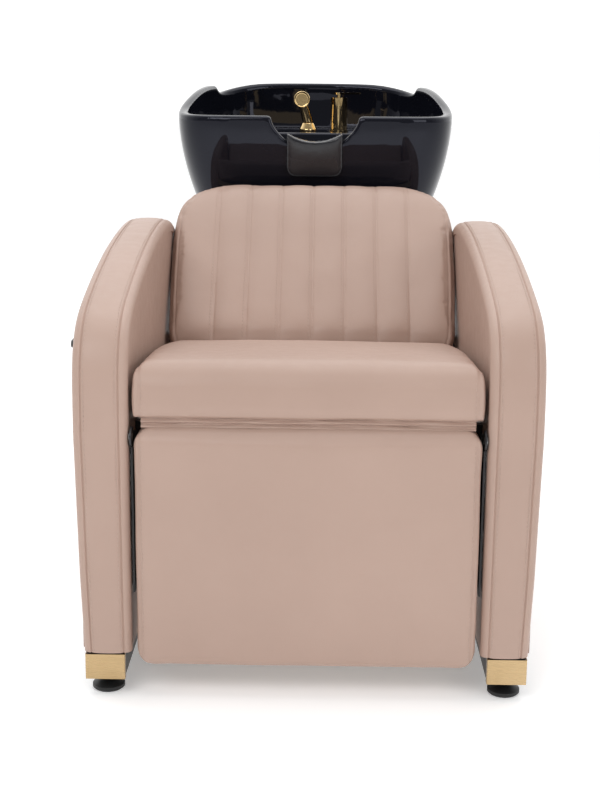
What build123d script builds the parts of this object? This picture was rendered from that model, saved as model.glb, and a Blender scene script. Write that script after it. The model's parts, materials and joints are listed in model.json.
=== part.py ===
from build123d import *
import math
import os

# Hair washing bed: an upholstered chair with a legrest, and a ceramic bowl on a pedestal behind it.
# X runs across the bed, Y from the sitter's feet to the bowl, Z up from the floor.
# The origin lies on the floor, under the middle of the whole bed.

# Common values
overrun = 5.0
touch_gap = 0.3
running_gap = 0.05

# Arms
arm_front_y = -721.0
arm_half_span = 351.0
arm_thickness = 79.5
arm_bottom_z = 72.0
arm_shoulder_z = 500.0
arm_crest_z = 680.0
arm_crest_back = 640.0
arm_front_radius = 110.0
arm_length = 850.0
arm_rear_shoulder_z = 560.0
arm_rear_radius = 70.0
band_depth = 22.0
band_round = 14.0
panel_thickness = 10.0
panel_recess = 1.5
frame_board = 18.0

# Base rails, shoes and feet
rail_bottom_z = 28.0
rail_top_z = 69.0
rail_width = 59.0
rail_wall = 2.5
rail_length = 845.0
shoe_plate = 1.5
shoe_return = 12.0
shoe_inset = 7.0
cap_thickness = 3.0
foot_inset = 35.0
foot_radius = 25.5
foot_sole_radius = 22.0
foot_sole_height = 3.0
foot_belly_height = 8.0
foot_top_height = 17.0
foot_neck_radius = 9.0
foot_stem_radius = 5.0
foot_stem_top_z = 48.0

# Seat
seat_slope = 7.0
seat_front_inset = 5.0
seat_bottom_front_z = 446.0
seat_depth = 508.0
seat_thickness = 95.0
seat_arch = 10.0
seat_crown = 3.0
seat_side_gap = 4.0
seat_side_bulge = 3.0
seat_nose_radius = 46.0
seat_chin_radius = 16.0
seat_rear_radius = 18.0
seat_edge_radius = 20.0
seat_plan_radius = 14.0
pillow_arch_lift = 1.2
seat_board_thickness = 15.0
seat_board_side = 9.0
seat_board_front = 56.0
seat_board_rear = 505.0
seat_front_tube_at = 105.0
seat_rear_tube_at = 440.0
cross_tube = 30.0
cross_tube_wall = 2.0

# Backrest
back_lean = 43.0
back_foot_at = 520.0
back_foot_z = 468.0
back_height = 388.0
back_thickness = 76.0
back_side_gap = 2.5
back_channel_bulge = 5.0
back_seam_share = 0.1135
back_seam_limit = 0.3
back_seams = 7
back_board_thickness = 15.0
back_board_side = 29.0
back_board_head = 23.0
back_board_foot = 20.0
back_lower_tube_at = 45.0
back_upper_tube_at = 225.0

# Legrest
legrest_front = -8.0
legrest_top_z = 436.0
legrest_bottom_z = 48.0
legrest_side_gap = 6.0
legrest_cushion_thickness = 56.0
legrest_arch = 4.0
legrest_crown = 3.0
legrest_nose_radius = 34.0
legrest_chin_radius = 20.0
legrest_edge_radius = 7.5
legrest_end_radius = 12.0
legrest_plan_radius = 36.0
legrest_board_thickness = 14.0
legrest_board_side = 13.5
legrest_board_inset = 14.0
legrest_pivot_back = 20.0
legrest_pivot_z = 415.0
legrest_pin_radius = 6.0
legrest_pin_reach = 34.0
legrest_arm_plate = 3.0
legrest_arm_clearance = 1.0
legrest_arm_length = 250.0
legrest_arm_flange = 32.0
legrest_eye_radius = 16.0
flap_side = 12.5
flap_thickness = 1.2
flap_at = 16.0
flap_tuck = 5.0
flap_fold = 3.0
flap_folds = 5

# Gas spring under the seat
spring_eye_back = 400.0
spring_eye_z = 360.9
spring_lean = 3.15
spring_length = 321.5
spring_body_radius = 11.0
spring_bore_radius = 8.5
spring_body_length = 262.0
spring_body_start = 16.0
spring_end_wall = 6.0
spring_rod_radius = 4.0
spring_piston_length = 12.0
spring_rod_tail = 190.0
spring_eye_radius = 9.0
spring_eye_width = 12.0
spring_pin_radius = 5.0
spring_bracket_plate = 4.0
lug_hole_back = 78.0
lug_hole_z = 353.0
lug_hole_radius = 17.0
lug_plate = 4.0
lug_half_height = 26.0
lug_gap = 3.0
lug_base = 3.0

# Release lever on the outer face of the right arm, as the sitter has it
lever_hub_back = 175.0
lever_hub_z = 545.0
lever_bezel_radius = 24.0
lever_bezel_thickness = 3.0
lever_hub_radius = 15.0
lever_proud = 15.0
lever_length = 92.0
lever_thickness = 11.0
lever_shaft_radius = 5.0
lever_crank_length = 26.0
lever_crank_thickness = 5.0
cable_radius = 3.0
cable_slant = 16.0
cable_end_drop = 4.9
route_share = 0.45
cable_exit_at = 72.4
cable_exit_z = 338.3
cable_exit_radius = 13.0

# Rear frame and pedestal
rear_tube_at = 770.0
rear_tube_width = 40.0
rear_channel_wall = 3.0
spine_width = 60.0
foot_bar_behind = 315.0
foot_bar_half = 140.0
glide_x = 118.0
glide_radius = 20.0
column_behind = 265.0
column_width = 60.0
column_wall = 3.0
column_top_z = 560.0
head_plate = 6.0
head_half = 56.0
head_half_depth = 32.0
housing_half = 150.0
housing_front_behind = 135.0
housing_rear_behind = 407.0
housing_top_z = 556.0
housing_wall = 4.0
housing_corner = 28.0
housing_mouth_margin = 26.0
access_half = 100.0
access_bottom_z = 130.0
access_top_z = 480.0
access_lap = 14.0
access_thickness = 3.0
shelf_z = 150.0
shelf_thickness = 4.0
shelf_half = 56.0
shelf_depth = 72.0
inlet_x = 36.0
inlet_behind = 340.0
inlet_radius = 10.45
inlet_length = 24.0
inlet_hex_radius = 15.0
inlet_hex_height = 10.0
inlet_tail_height = 22.0

# Bowl bracket
tilt_z = 588.0
tilt_bolt_radius = 6.0
tilt_ear_radius = 12.0
tilt_ear = 6.0
tilt_ear_gap = 1.0
tilt_nut_margin = 3.0
nut_sides = 6
tilt_outer_ear_x = 48.0
cradle_plate = 6.0
cradle_half_depth = 30.0
cradle_lip = 5.0

# Bowl
bowl_clear = 70.38
bowl_depth = 595.0
bowl_half = 279.5
bowl_top_z = 865.0
bowl_bottom_z = 612.0
bowl_middle_z = 740.0
bowl_cut_margin = 18.0
bowl_foot_inset = 68.0
bowl_middle_inset = 19.0
bowl_turn_in = 6.0
bowl_wall = 20.0
bowl_skin = 15.0
bowl_flat_share = 0.62
bowl_wide_share = 0.38
bowl_ear_share = 0.79
bowl_ear_half_share = 0.88
ear_behind = 445.0
ear_z = 917.0
ear_step_behind = 478.0
ear_rise_behind = 560.0
ear_rise_z = 916.0
ear_back_z = 905.0
bowl_rear_z = 922.0
rim_rise_behind = 25.0
rim_middle_behind = 190.0
rim_middle_z = 887.0
deck_z = 818.0
deck_thickness = 16.0
deck_behind = 310.0
basin_floor_z = 690.0
basin_floor_half = 62.0
basin_middle_z = 750.0
basin_middle_half = 165.0
basin_top_half = 226.0
basin_slope_inset = 22.0
notch_half = 89.0
notch_lip_half = 62.0
notch_lip_z = 798.0
notch_side_z = 820.0
notch_depth = 50.0
drain_behind = 203.0
drain_radius = 22.0
drain_flange_radius = 34.0
drain_flange_thickness = 3.0
drain_tail_z = 600.0
drain_pipe_wall = 2.5
strainer_radius = 18.0
strainer_rim_radius = 21.0
strainer_depth = 15.0
strainer_wall = 1.2
strainer_hole_radius = 1.6
strainer_ring_radius = 11.0
strainer_outer_holes = 8
strainer_inner_holes = 4
drain_ledge = 1.0
rim_round = 7.0
rim_facing = 0.7

# Neck rest
neck_half = 56.5
neck_bottom_z = 744.0
neck_thickness = 16.0
neck_top_z = 832.0
neck_dip = 18.0
neck_inner_drop = 24.0
neck_round = 5.0
neck_corner_round = 20.0

# Mixer and hand spray
tap_behind = 395.0
mixer_x = 52.0
mixer_radius = 19.0
mixer_flange_radius = 22.0
mixer_flange_height = 3.0
mixer_body_top_z = 871.0
mixer_shank_radius = 14.0
mixer_shank_bottom_z = 770.0
mixer_cap_top_z = 893.0
mixer_cap_wall = 3.5
mixer_ball_z = 879.0
mixer_ball_radius = 8.0
mixer_neck_radius = 4.5
mixer_lever_z = 900.0
mixer_lever_thickness = 4.0
mixer_lever_length = 58.0
mixer_lever_tail = 12.0
mixer_lever_width = 20.0
mixer_lever_turn = 40.0
mixer_lever_corner = 6.5
spray_x = -18.0
holder_flange_radius = 20.0
holder_flange_height = 4.0
holder_top_z = 836.0
holder_top_radius = 13.0
holder_shank_radius = 11.0
holder_bore_radius = 7.5
spray_stem_radius = 7.0
spray_stem_bottom_z = 812.0
spray_neck_radius = 10.0
spray_head_radius = 18.0
spray_head_length = 26.0
spray_head_z = 889.0
spray_head_shift = -14.0
spray_head_forward = 16.0
spray_nozzle_depth = 2.0
spray_head_round = 6.0
spray_hose_radius = 5.0
spray_hose_bottom_z = 640.0
nut_height = 9.0
nut_margin = 7.0

# Waste and supplies
waste_radius = 20.0
waste_wall = 2.5
trap_top_z = 330.0
trap_bottom_z = 205.0
trap_radius = 38.0
trap_outlet_x = -96.0
trap_outlet_z = 292.0
trap_outlet_bottom_z = 96.0
trap_outlet_radius = 16.0
supply_radius = 6.0

# Screws
screw_radius = 3.0
screw_head_radius = 5.5
screw_head_height = 3.0


# Places worked out from the sizes above
def back_from_front(distance):
    """The Y of a place that lies the given distance behind the arms' front plane."""
    return arm_front_y + distance


arm_inner_x = arm_half_span - arm_thickness
rail_outer_x = arm_half_span - shoe_inset - shoe_plate
rail_inner_x = rail_outer_x - rail_width
foot_x = (rail_inner_x + rail_outer_x) / 2
foot_neck_z = rail_bottom_z - touch_gap
screw_hole_radius = screw_radius + running_gap
seat_half_width = arm_inner_x - seat_side_gap
seat_board_half = seat_half_width - seat_board_side
back_half_width = arm_inner_x - back_side_gap
back_board_half = back_half_width - back_board_side
back_seam_pitch = back_half_width * 2 * back_seam_share
back_board_height = back_height - back_board_foot - back_board_head
legrest_half_width = arm_inner_x - legrest_side_gap
legrest_board_half = legrest_half_width - legrest_board_side
flap_half_width = legrest_half_width - flap_side
pivot_y = back_from_front(legrest_pivot_back)

# The bowl's front wall stands behind the top of the backrest, and the pedestal keeps its place under the bowl
back_top_at = back_foot_at + back_height * math.sin(math.radians(back_lean))
bowl_front_at = back_top_at + bowl_clear


def behind_bowl_front(distance):
    """The Y of a place that lies the given distance behind the bowl's front wall."""
    return back_from_front(bowl_front_at + distance)


bowl_front_y = behind_bowl_front(0)
bowl_rear_y = behind_bowl_front(bowl_depth)
column_y = behind_bowl_front(column_behind)
tap_y = behind_bowl_front(tap_behind)
drain_y = behind_bowl_front(drain_behind)
deck_front_y = behind_bowl_front(deck_behind)
bowl_height_top_z = bowl_rear_z + bowl_cut_margin
cradle_half = bowl_half - bowl_foot_inset - cradle_lip
seat_plane = Plane(
    origin=(0, back_from_front(seat_front_inset), seat_bottom_front_z),
    x_dir=(1, 0, 0),
    z_dir=(0, math.sin(math.radians(seat_slope)), math.cos(math.radians(seat_slope))),
)
back_plane = Plane(
    origin=(0, back_from_front(back_foot_at), back_foot_z),
    x_dir=(1, 0, 0),
    z_dir=(0, math.sin(math.radians(back_lean)), math.cos(math.radians(back_lean))),
)


# Small shapes that several pieces use
def block(low, high):
    """A block between two corners."""
    with BuildPart() as made:
        with BuildSketch(Plane.XY.offset(low[2])):
            with Locations(((low[0] + high[0]) / 2, (low[1] + high[1]) / 2)):
                Rectangle(high[0] - low[0], high[1] - low[1])
        extrude(amount=high[2] - low[2])
    return made.part


def rod(plane, radius, length):
    """A round bar that starts on a plane and runs along its normal."""
    with BuildPart() as made:
        with BuildSketch(plane):
            Circle(radius)
        extrude(amount=length)
    return made.part


def upright(x, y, z):
    """A level plane at a place."""
    return Plane(origin=(x, y, z), x_dir=(1, 0, 0), z_dir=(0, 0, 1))


def sideways(x, y, z):
    """A plane at a place, facing along X, with Y to its right and Z up."""
    return Plane(origin=(x, y, z), x_dir=(0, 1, 0), z_dir=(1, 0, 0))


def finish(piece, name):
    """Name a piece and write it to its file."""
    piece.label = name
    export_step(piece, f"parts/{name}.step")


os.makedirs("parts", exist_ok=True)


# Outline of an arm, seen from the side
def long_radius(run, rise, tight):
    """Radius of the long arc that meets a tight one smoothly over a quarter turn."""
    return ((run - tight) ** 2 + rise**2 - tight**2) / (2 * (rise - tight))


def arm_curve(inset, end_y, shoulder_z, tight, sign):
    """Two smooth arcs from a shoulder at one end of the arm to its crest."""
    crest_y = back_from_front(arm_crest_back)
    rise = arm_crest_z - shoulder_z
    wide = long_radius(abs(crest_y - end_y), rise, tight)
    tight_centre = (end_y + sign * tight, shoulder_z)
    wide_centre = (crest_y, arm_crest_z - wide)
    turn = math.degrees(math.atan2(tight_centre[1] - wide_centre[1], tight_centre[0] - wide_centre[0]))
    upright_turn = 90
    level_turn = 90 + sign * 90
    CenterArc(wide_centre, wide - inset, upright_turn, turn - upright_turn)
    CenterArc(tight_centre, tight - inset, turn, level_turn - turn)


def arm_outline(inset, bottom_z):
    """Side outline of an arm, drawn in by inset at its front, top and rear."""
    front = arm_front_y
    rear = back_from_front(arm_length)
    with BuildLine() as outline:
        Line((front + inset, bottom_z), (front + inset, arm_shoulder_z))
        arm_curve(inset, front, arm_shoulder_z, arm_front_radius, 1)
        arm_curve(inset, rear, arm_rear_shoulder_z, arm_rear_radius, -1)
        Line((rear - inset, arm_rear_shoulder_z), (rear - inset, bottom_z))
        Line((rear - inset, bottom_z), (front + inset, bottom_z))
    return outline.edges()


def arm_slab(inset, bottom_z, low_x, high_x):
    """A slab with the arm's outline between two places across the bed."""
    with BuildPart() as made:
        with BuildSketch(Plane.YZ.offset(low_x)):
            make_face(arm_outline(inset, bottom_z))
        extrude(amount=high_x - low_x)
    return made.part


frame_low_x = arm_inner_x + panel_recess + panel_thickness
frame_high_x = arm_half_span - panel_recess - panel_thickness

lever_hub_y = back_from_front(lever_hub_back)

for side, sign in (("left", 1), ("right", -1)):
    # Padded band round the arm's front, top and rear
    with BuildPart() as band:
        with BuildSketch(Plane.YZ.offset(arm_inner_x)):
            make_face(arm_outline(0, arm_bottom_z))
        extrude(amount=arm_thickness)
        rounded = band.edges().filter_by(
            lambda e: abs(abs(e.center().X - arm_inner_x - arm_thickness / 2) - arm_thickness / 2) < touch_gap
            and e.center().Z > arm_bottom_z + touch_gap
        )
        fillet(rounded, band_round)
        with BuildSketch(Plane.YZ.offset(arm_inner_x - overrun)):
            make_face(arm_outline(band_depth, arm_bottom_z - overrun))
        extrude(amount=arm_thickness + overrun * 2, mode=Mode.SUBTRACT)

    # Wooden frame inside the arm
    with BuildPart() as frame:
        with BuildSketch(Plane.YZ.offset(frame_low_x)):
            make_face(arm_outline(band_depth, rail_top_z))
        extrude(amount=frame_high_x - frame_low_x)
        with BuildSketch(Plane.YZ.offset(frame_low_x - overrun)):
            make_face(arm_outline(band_depth + frame_board, rail_top_z + frame_board))
        extrude(amount=frame_high_x - frame_low_x + overrun * 2, mode=Mode.SUBTRACT)

    # Inner panel, bored for the legrest's pin; the right one also for the release cable
    with BuildPart() as inner_panel:
        add(arm_slab(band_depth, arm_bottom_z, frame_low_x - panel_thickness, frame_low_x))
        if side == "right":
            hole_x = frame_low_x - panel_thickness - overrun
            with BuildSketch(sideways(hole_x, lever_hub_y + cable_exit_at, cable_exit_z)):
                Circle(cable_exit_radius)
            extrude(amount=panel_thickness + overrun * 2, mode=Mode.SUBTRACT)

    # Outer panel; the right one is bored for the release lever's shaft
    with BuildPart() as outer_panel:
        add(arm_slab(band_depth, arm_bottom_z, frame_high_x, frame_high_x + panel_thickness))
        if side == "right":
            with BuildSketch(sideways(frame_high_x - overrun, lever_hub_y, lever_hub_z)):
                Circle(lever_shaft_radius + running_gap)
            extrude(amount=panel_thickness + overrun * 2, mode=Mode.SUBTRACT)

    # Hole for the legrest's pin through the band and the wooden frame behind it
    pin_hole = rod(
        sideways(arm_inner_x - overrun, pivot_y, legrest_pivot_z),
        legrest_pin_radius,
        legrest_pin_reach + overrun,
    )
    with BuildPart() as drilled_band:
        add(band.part)
        add(pin_hole, mode=Mode.SUBTRACT)
    with BuildPart() as drilled_frame:
        add(frame.part)
        add(pin_hole, mode=Mode.SUBTRACT)
    with BuildPart() as drilled_panel:
        add(inner_panel.part)
        add(pin_hole, mode=Mode.SUBTRACT)

    pieces = {
        "arm_band": drilled_band.part,
        "arm_frame": drilled_frame.part,
        "arm_inner_panel": drilled_panel.part,
        "arm_outer_panel": outer_panel.part,
    }
    for name, piece in pieces.items():
        finish(piece if sign > 0 else mirror(piece, about=Plane.YZ), f"{side}_{name}")


# Base rails with holes for the feet, their gold shoes at the front and caps at the rear
foot_ys = (back_from_front(foot_inset), back_from_front(rail_length - foot_inset))
rail_front_y = arm_front_y + shoe_plate
rail_rear_y = back_from_front(rail_length)
for side, sign in (("left", 1), ("right", -1)):
    with BuildPart() as rail:
        add(block((rail_inner_x, rail_front_y, rail_bottom_z), (rail_outer_x, rail_rear_y, rail_top_z)))
        add(
            block(
                (rail_inner_x + rail_wall, rail_front_y - overrun, rail_bottom_z + rail_wall),
                (rail_outer_x - rail_wall, rail_rear_y + overrun, rail_top_z - rail_wall),
            ),
            mode=Mode.SUBTRACT,
        )
        for foot_y in foot_ys:
            with BuildSketch(upright(foot_x, foot_y, rail_bottom_z - overrun)):
                Circle(foot_stem_radius + running_gap)
            extrude(amount=rail_wall + overrun * 2, mode=Mode.SUBTRACT)
    finish(rail.part if sign > 0 else mirror(rail.part, about=Plane.YZ), f"{side}_base_rail")

    with BuildPart() as shoe:
        add(
            block(
                (rail_inner_x - shoe_plate, arm_front_y, rail_bottom_z),
                (rail_outer_x + shoe_plate, arm_front_y + shoe_return, rail_top_z),
            )
        )
        add(
            block(
                (rail_inner_x, rail_front_y, rail_bottom_z - overrun),
                (rail_outer_x, arm_front_y + shoe_return + overrun, rail_top_z + overrun),
            ),
            mode=Mode.SUBTRACT,
        )
        corners = shoe.edges().filter_by(Axis.Z).filter_by(lambda e: e.center().Y < arm_front_y + touch_gap)
        fillet(corners, shoe_plate)
    finish(shoe.part if sign > 0 else mirror(shoe.part, about=Plane.YZ), f"{side}_front_shoe")

    # Levelling feet: a rounded sole on a stem
    for place, foot_y in zip(("front", "rear"), foot_ys):
        with BuildPart() as foot:
            with BuildSketch(Plane(origin=(foot_x * sign, foot_y, 0), x_dir=(1, 0, 0), z_dir=(0, -1, 0))):
                with BuildLine():
                    Line((0, 0), (foot_sole_radius, 0))
                    Line((foot_sole_radius, 0), (foot_radius, foot_sole_height))
                    Line((foot_radius, foot_sole_height), (foot_radius, foot_belly_height))
                    Line((foot_radius, foot_belly_height), (foot_neck_radius, foot_top_height))
                    Line((foot_neck_radius, foot_top_height), (foot_neck_radius, foot_neck_z))
                    Line((foot_neck_radius, foot_neck_z), (foot_stem_radius, foot_neck_z))
                    Line((foot_stem_radius, foot_neck_z), (foot_stem_radius, foot_stem_top_z))
                    Line((foot_stem_radius, foot_stem_top_z), (0, foot_stem_top_z))
                    Line((0, foot_stem_top_z), (0, 0))
                make_face()
            revolve(axis=Axis((foot_x * sign, foot_y, 0), (0, 0, 1)))
        finish(foot.part, f"{side}_{place}_foot")

with BuildPart() as rail_end_caps:
    for sign in (1, -1):
        low = min(sign * rail_inner_x, sign * rail_outer_x)
        high = max(sign * rail_inner_x, sign * rail_outer_x)
        add(block((low, rail_rear_y, rail_bottom_z), (high, rail_rear_y + cap_thickness, rail_top_z)))
finish(rail_end_caps.part, "rail_end_caps")


# Cross tubes between the arms that carry the seat and the backrest
def cross_tube_on(plane, back_shift, top_shift):
    """A square tube from arm to arm, its upper face top_shift from the plane along its normal."""
    with BuildPart() as made:
        for width, mode, reach in (
            (cross_tube, Mode.ADD, arm_inner_x + panel_recess),
            (cross_tube - cross_tube_wall * 2, Mode.SUBTRACT, arm_inner_x + overrun),
        ):
            centre = plane.from_local_coords((0, back_shift, top_shift - cross_tube / 2))
            tube_plane = Plane(origin=centre, x_dir=plane.y_dir, z_dir=(1, 0, 0))
            with BuildSketch(tube_plane.offset(-reach)):
                Rectangle(width, width)
            extrude(amount=reach * 2, mode=mode)
    return made.part


seat_tube_top = -seat_board_thickness
seat_front_tube = cross_tube_on(seat_plane, seat_front_tube_at + cross_tube / 2, seat_tube_top)
finish(seat_front_tube, "seat_front_tube")

# The rear seat tube carries the gas spring's bracket
spring_plane = Plane(
    origin=(0, back_from_front(spring_eye_back), spring_eye_z),
    x_dir=(1, 0, 0),
    z_dir=(0, -math.cos(math.radians(spring_lean)), -math.sin(math.radians(spring_lean))),
)
spring_inner_x = spring_eye_width / 2 + touch_gap
spring_outer_x = spring_inner_x + spring_bracket_plate
tube_front_y = seat_plane.from_local_coords((0, seat_rear_tube_at, seat_tube_top - cross_tube / 2)).Y
with BuildPart() as seat_rear_tube:
    add(cross_tube_on(seat_plane, seat_rear_tube_at + cross_tube / 2, seat_tube_top))
    for sign in (1, -1):
        low_x = min(sign * spring_inner_x, sign * spring_outer_x)
        with BuildSketch(sideways(low_x, back_from_front(spring_eye_back), spring_eye_z)):
            Circle(spring_eye_radius)
            with Locations(((tube_front_y - back_from_front(spring_eye_back)) / 2, 0)):
                Rectangle(tube_front_y - back_from_front(spring_eye_back), spring_eye_radius * 2)
            Circle(spring_pin_radius + running_gap, mode=Mode.SUBTRACT)
        extrude(amount=spring_bracket_plate)
finish(seat_rear_tube.part, "seat_rear_tube")

# Gas spring: cylinder with an eye and pin at the rear, rod with an eye and pin at the front
with BuildPart() as spring_cylinder:
    with BuildSketch(spring_plane.offset(spring_body_start)):
        Circle(spring_body_radius)
    extrude(amount=spring_body_length)
    with BuildSketch(spring_plane.offset(spring_body_start + spring_end_wall)):
        Circle(spring_bore_radius)
    extrude(amount=spring_body_length - spring_end_wall * 2, mode=Mode.SUBTRACT)
    with BuildSketch(spring_plane.offset(spring_body_start + spring_end_wall)):
        Circle(spring_rod_radius + running_gap)
    extrude(amount=spring_body_length, mode=Mode.SUBTRACT)
    with BuildSketch(spring_plane):
        Rectangle(spring_eye_width, spring_eye_radius)
    extrude(amount=spring_body_start)
    with BuildSketch(sideways(-spring_eye_width / 2, spring_plane.origin.Y, spring_plane.origin.Z)):
        Circle(spring_eye_radius)
    extrude(amount=spring_eye_width)
    with BuildSketch(sideways(-spring_outer_x, spring_plane.origin.Y, spring_plane.origin.Z)):
        Circle(spring_pin_radius)
    extrude(amount=spring_outer_x * 2)
finish(spring_cylinder.part, "gas_spring_cylinder")

rod_eye = spring_plane.offset(spring_length).origin
lug_inner_x = spring_eye_width / 2 + lug_gap
lug_outer_x = lug_inner_x + lug_plate
with BuildPart() as spring_rod:
    with BuildSketch(spring_plane.offset(spring_length - spring_rod_tail)):
        Circle(spring_rod_radius)
    extrude(amount=spring_rod_tail)
    with BuildSketch(spring_plane.offset(spring_length - spring_rod_tail)):
        Circle(spring_bore_radius - running_gap)
    extrude(amount=spring_piston_length)
    with BuildSketch(sideways(-spring_eye_width / 2, rod_eye.Y, rod_eye.Z)):
        Circle(spring_eye_radius)
    extrude(amount=spring_eye_width)
    with BuildSketch(sideways(-lug_outer_x, rod_eye.Y, rod_eye.Z)):
        Circle(spring_pin_radius)
    extrude(amount=lug_outer_x * 2)
finish(spring_rod.part, "gas_spring_rod")


# Seat: plywood board and crowned cushion
with BuildPart() as seat_board:
    with BuildSketch(seat_plane.offset(-seat_board_thickness)):
        with Locations((0, (seat_board_front + seat_board_rear) / 2)):
            Rectangle(seat_board_half * 2, seat_board_rear - seat_board_front)
    extrude(amount=seat_board_thickness)
finish(seat_board.part, "seat_board")


def round_corners(section, radii):
    """Round the corners of a four-sided sketch: front top, front low, rear top, rear low."""
    for (column, row), radius in zip(((0, -1), (0, 0), (-1, -1), (-1, 0)), radii):
        corner = section.vertices().group_by(Axis.X)[column].sort_by(Axis.Y)[row]
        fillet(corner, radius)


def pillow(plane, half_width, length, heights, bulge, side_radii, end_radius, plan_radius):
    """A crowned cushion: the shape that its side, end and plan outlines have in common.

    heights gives its thickness, how far its top arches along its length, and how far it is crowned across.
    """
    thickness, arch, crown = heights
    side = Plane(origin=plane.origin, x_dir=plane.y_dir, z_dir=plane.x_dir)
    middle = Plane(origin=plane.from_local_coords((0, length / 2, 0)), x_dir=plane.x_dir, z_dir=-plane.y_dir)
    arch_radius = ((length / 2) ** 2 + arch**2) / (2 * arch)
    hub = plane.from_local_coords((0, length / 2, thickness - arch_radius))
    base = -arch - overrun
    low = thickness - crown
    drawn = half_width - bulge
    reach = half_width + bulge
    side_top = thickness - arch + pillow_arch_lift
    with BuildPart() as made:
        with BuildSketch(middle) as end_view:
            with BuildLine():
                ThreePointArc((-drawn, base), (-half_width, (base + low) / 2), (-drawn, low))
                ThreePointArc((-drawn, low), (0, thickness), (drawn, low))
                ThreePointArc((drawn, low), (half_width, (base + low) / 2), (drawn, base))
                Line((drawn, base), (-drawn, base))
            make_face()
            fillet(end_view.vertices().group_by(Axis.Y)[-1], end_radius)
        revolve(axis=Axis(hub, plane.x_dir))
        with BuildSketch(side.offset(-reach)) as side_view:
            with BuildLine():
                Polyline((0, side_top), (0, 0), (length, 0), (length, side_top))
                ThreePointArc((0, side_top), (length / 2, side_top + arch), (length, side_top))
            make_face()
            round_corners(side_view, side_radii)
        extrude(amount=reach * 2, mode=Mode.INTERSECT)
        with BuildSketch(plane.offset(-overrun)):
            with Locations((0, length / 2)):
                RectangleRounded(reach * 2, length + bulge * 2, plan_radius)
        extrude(amount=thickness + overrun * 2, mode=Mode.INTERSECT)
    return made.part


with BuildPart() as seat_cushion:
    add(
        pillow(
            seat_plane,
            seat_half_width,
            seat_depth,
            (seat_thickness, seat_arch, seat_crown),
            seat_side_bulge,
            (seat_nose_radius, seat_chin_radius, seat_rear_radius, seat_rear_radius),
            seat_edge_radius,
            seat_plan_radius,
        )
    )
finish(seat_cushion.part, "seat_cushion")


# Backrest: plywood board on two cross tubes, and a cushion with sewn channels
back_out = Vector(0, math.cos(math.radians(back_lean)), -math.sin(math.radians(back_lean)))
board_plane = Plane(
    origin=back_plane.origin + back_out * back_thickness,
    x_dir=(1, 0, 0),
    z_dir=-back_out,
)
with BuildPart() as backrest_board:
    with BuildSketch(board_plane.offset(-back_board_thickness)):
        with Locations((0, back_board_foot + back_board_height / 2)):
            Rectangle(back_board_half * 2, back_board_height)
    extrude(amount=back_board_thickness)
finish(backrest_board.part, "backrest_board")

for name, at in (("backrest_lower_tube", back_lower_tube_at), ("backrest_upper_tube", back_upper_tube_at)):
    finish(cross_tube_on(board_plane, at + cross_tube / 2, -back_board_thickness), name)


def channel_section(plane, half_width, front, rear, bulge, side_bulge):
    """A section of the backrest: shallow arcs between the seams in front, flat behind."""
    pitch = min(back_seam_pitch, half_width * back_seam_limit)
    seam_half = pitch * (back_seams - 1) / 2
    stops = [-half_width] + [-seam_half + pitch * i for i in range(back_seams)] + [half_width]
    half_way = (front + rear) / 2
    with BuildSketch(plane) as section:
        with BuildLine():
            for start, end in zip(stops[:-1], stops[1:]):
                middle = (start + end) / 2
                ThreePointArc((start, front), (middle, front - bulge), (end, front))
            ThreePointArc((half_width, front), (half_width + side_bulge, half_way), (half_width, rear))
            Line((half_width, rear), (-half_width, rear))
            ThreePointArc((-half_width, rear), (-half_width - side_bulge, half_way), (-half_width, front))
        make_face()
    return section.sketch


back_section_shares = (
    (0.0, 0.962, 0.14, 1.0, 0.5),
    (0.05, 0.982, 0.05, 1.0, 0.9),
    (0.3, 0.995, 0.0, 1.0, 1.0),
    (0.6, 1.0, 0.0, 1.0, 1.0),
    (0.77, 0.985, 0.02, 1.0, 0.9),
    (0.88, 0.905, 0.08, 0.97, 0.7),
    (0.96, 0.745, 0.21, 0.88, 0.5),
    (1.0, 0.55, 0.40, 0.72, 0.3),
)
back_side_bulge = back_channel_bulge / 2
back_sections = []
for along, wide, front, rear, bulge in back_section_shares:
    back_sections.append(
        channel_section(
            back_plane.offset(back_height * along),
            (back_half_width - back_side_bulge) * wide,
            back_thickness * front,
            back_thickness * rear,
            back_channel_bulge * bulge,
            back_side_bulge,
        )
    )
with BuildPart() as backrest_cushion:
    loft(back_sections)
    add(backrest_board.part, mode=Mode.SUBTRACT)
finish(backrest_cushion.part, "backrest_cushion")


# Legrest: cushion, board, side arms that hang on two pins, and the lug for the gas spring
legrest_height = legrest_top_z - legrest_bottom_z
cushion_front_y = back_from_front(legrest_front)
cushion_rear_y = cushion_front_y + legrest_cushion_thickness
legrest_plane = Plane(origin=(0, cushion_rear_y, legrest_bottom_z), x_dir=(1, 0, 0), z_dir=(0, -1, 0))
legrest_cushion = pillow(
    legrest_plane,
    legrest_half_width,
    legrest_height,
    (legrest_cushion_thickness, legrest_arch, legrest_crown),
    legrest_arm_clearance,
    (legrest_chin_radius, legrest_edge_radius, legrest_nose_radius, legrest_edge_radius),
    legrest_end_radius,
    legrest_plan_radius,
)
finish(legrest_cushion, "legrest_cushion")

board_rear_y = cushion_rear_y + legrest_board_thickness
with BuildPart() as legrest_board:
    add(
        block(
            (-legrest_board_half, cushion_rear_y, legrest_bottom_z + legrest_board_inset),
            (legrest_board_half, board_rear_y, legrest_top_z - legrest_board_inset),
        )
    )
finish(legrest_board.part, "legrest_board")

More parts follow.
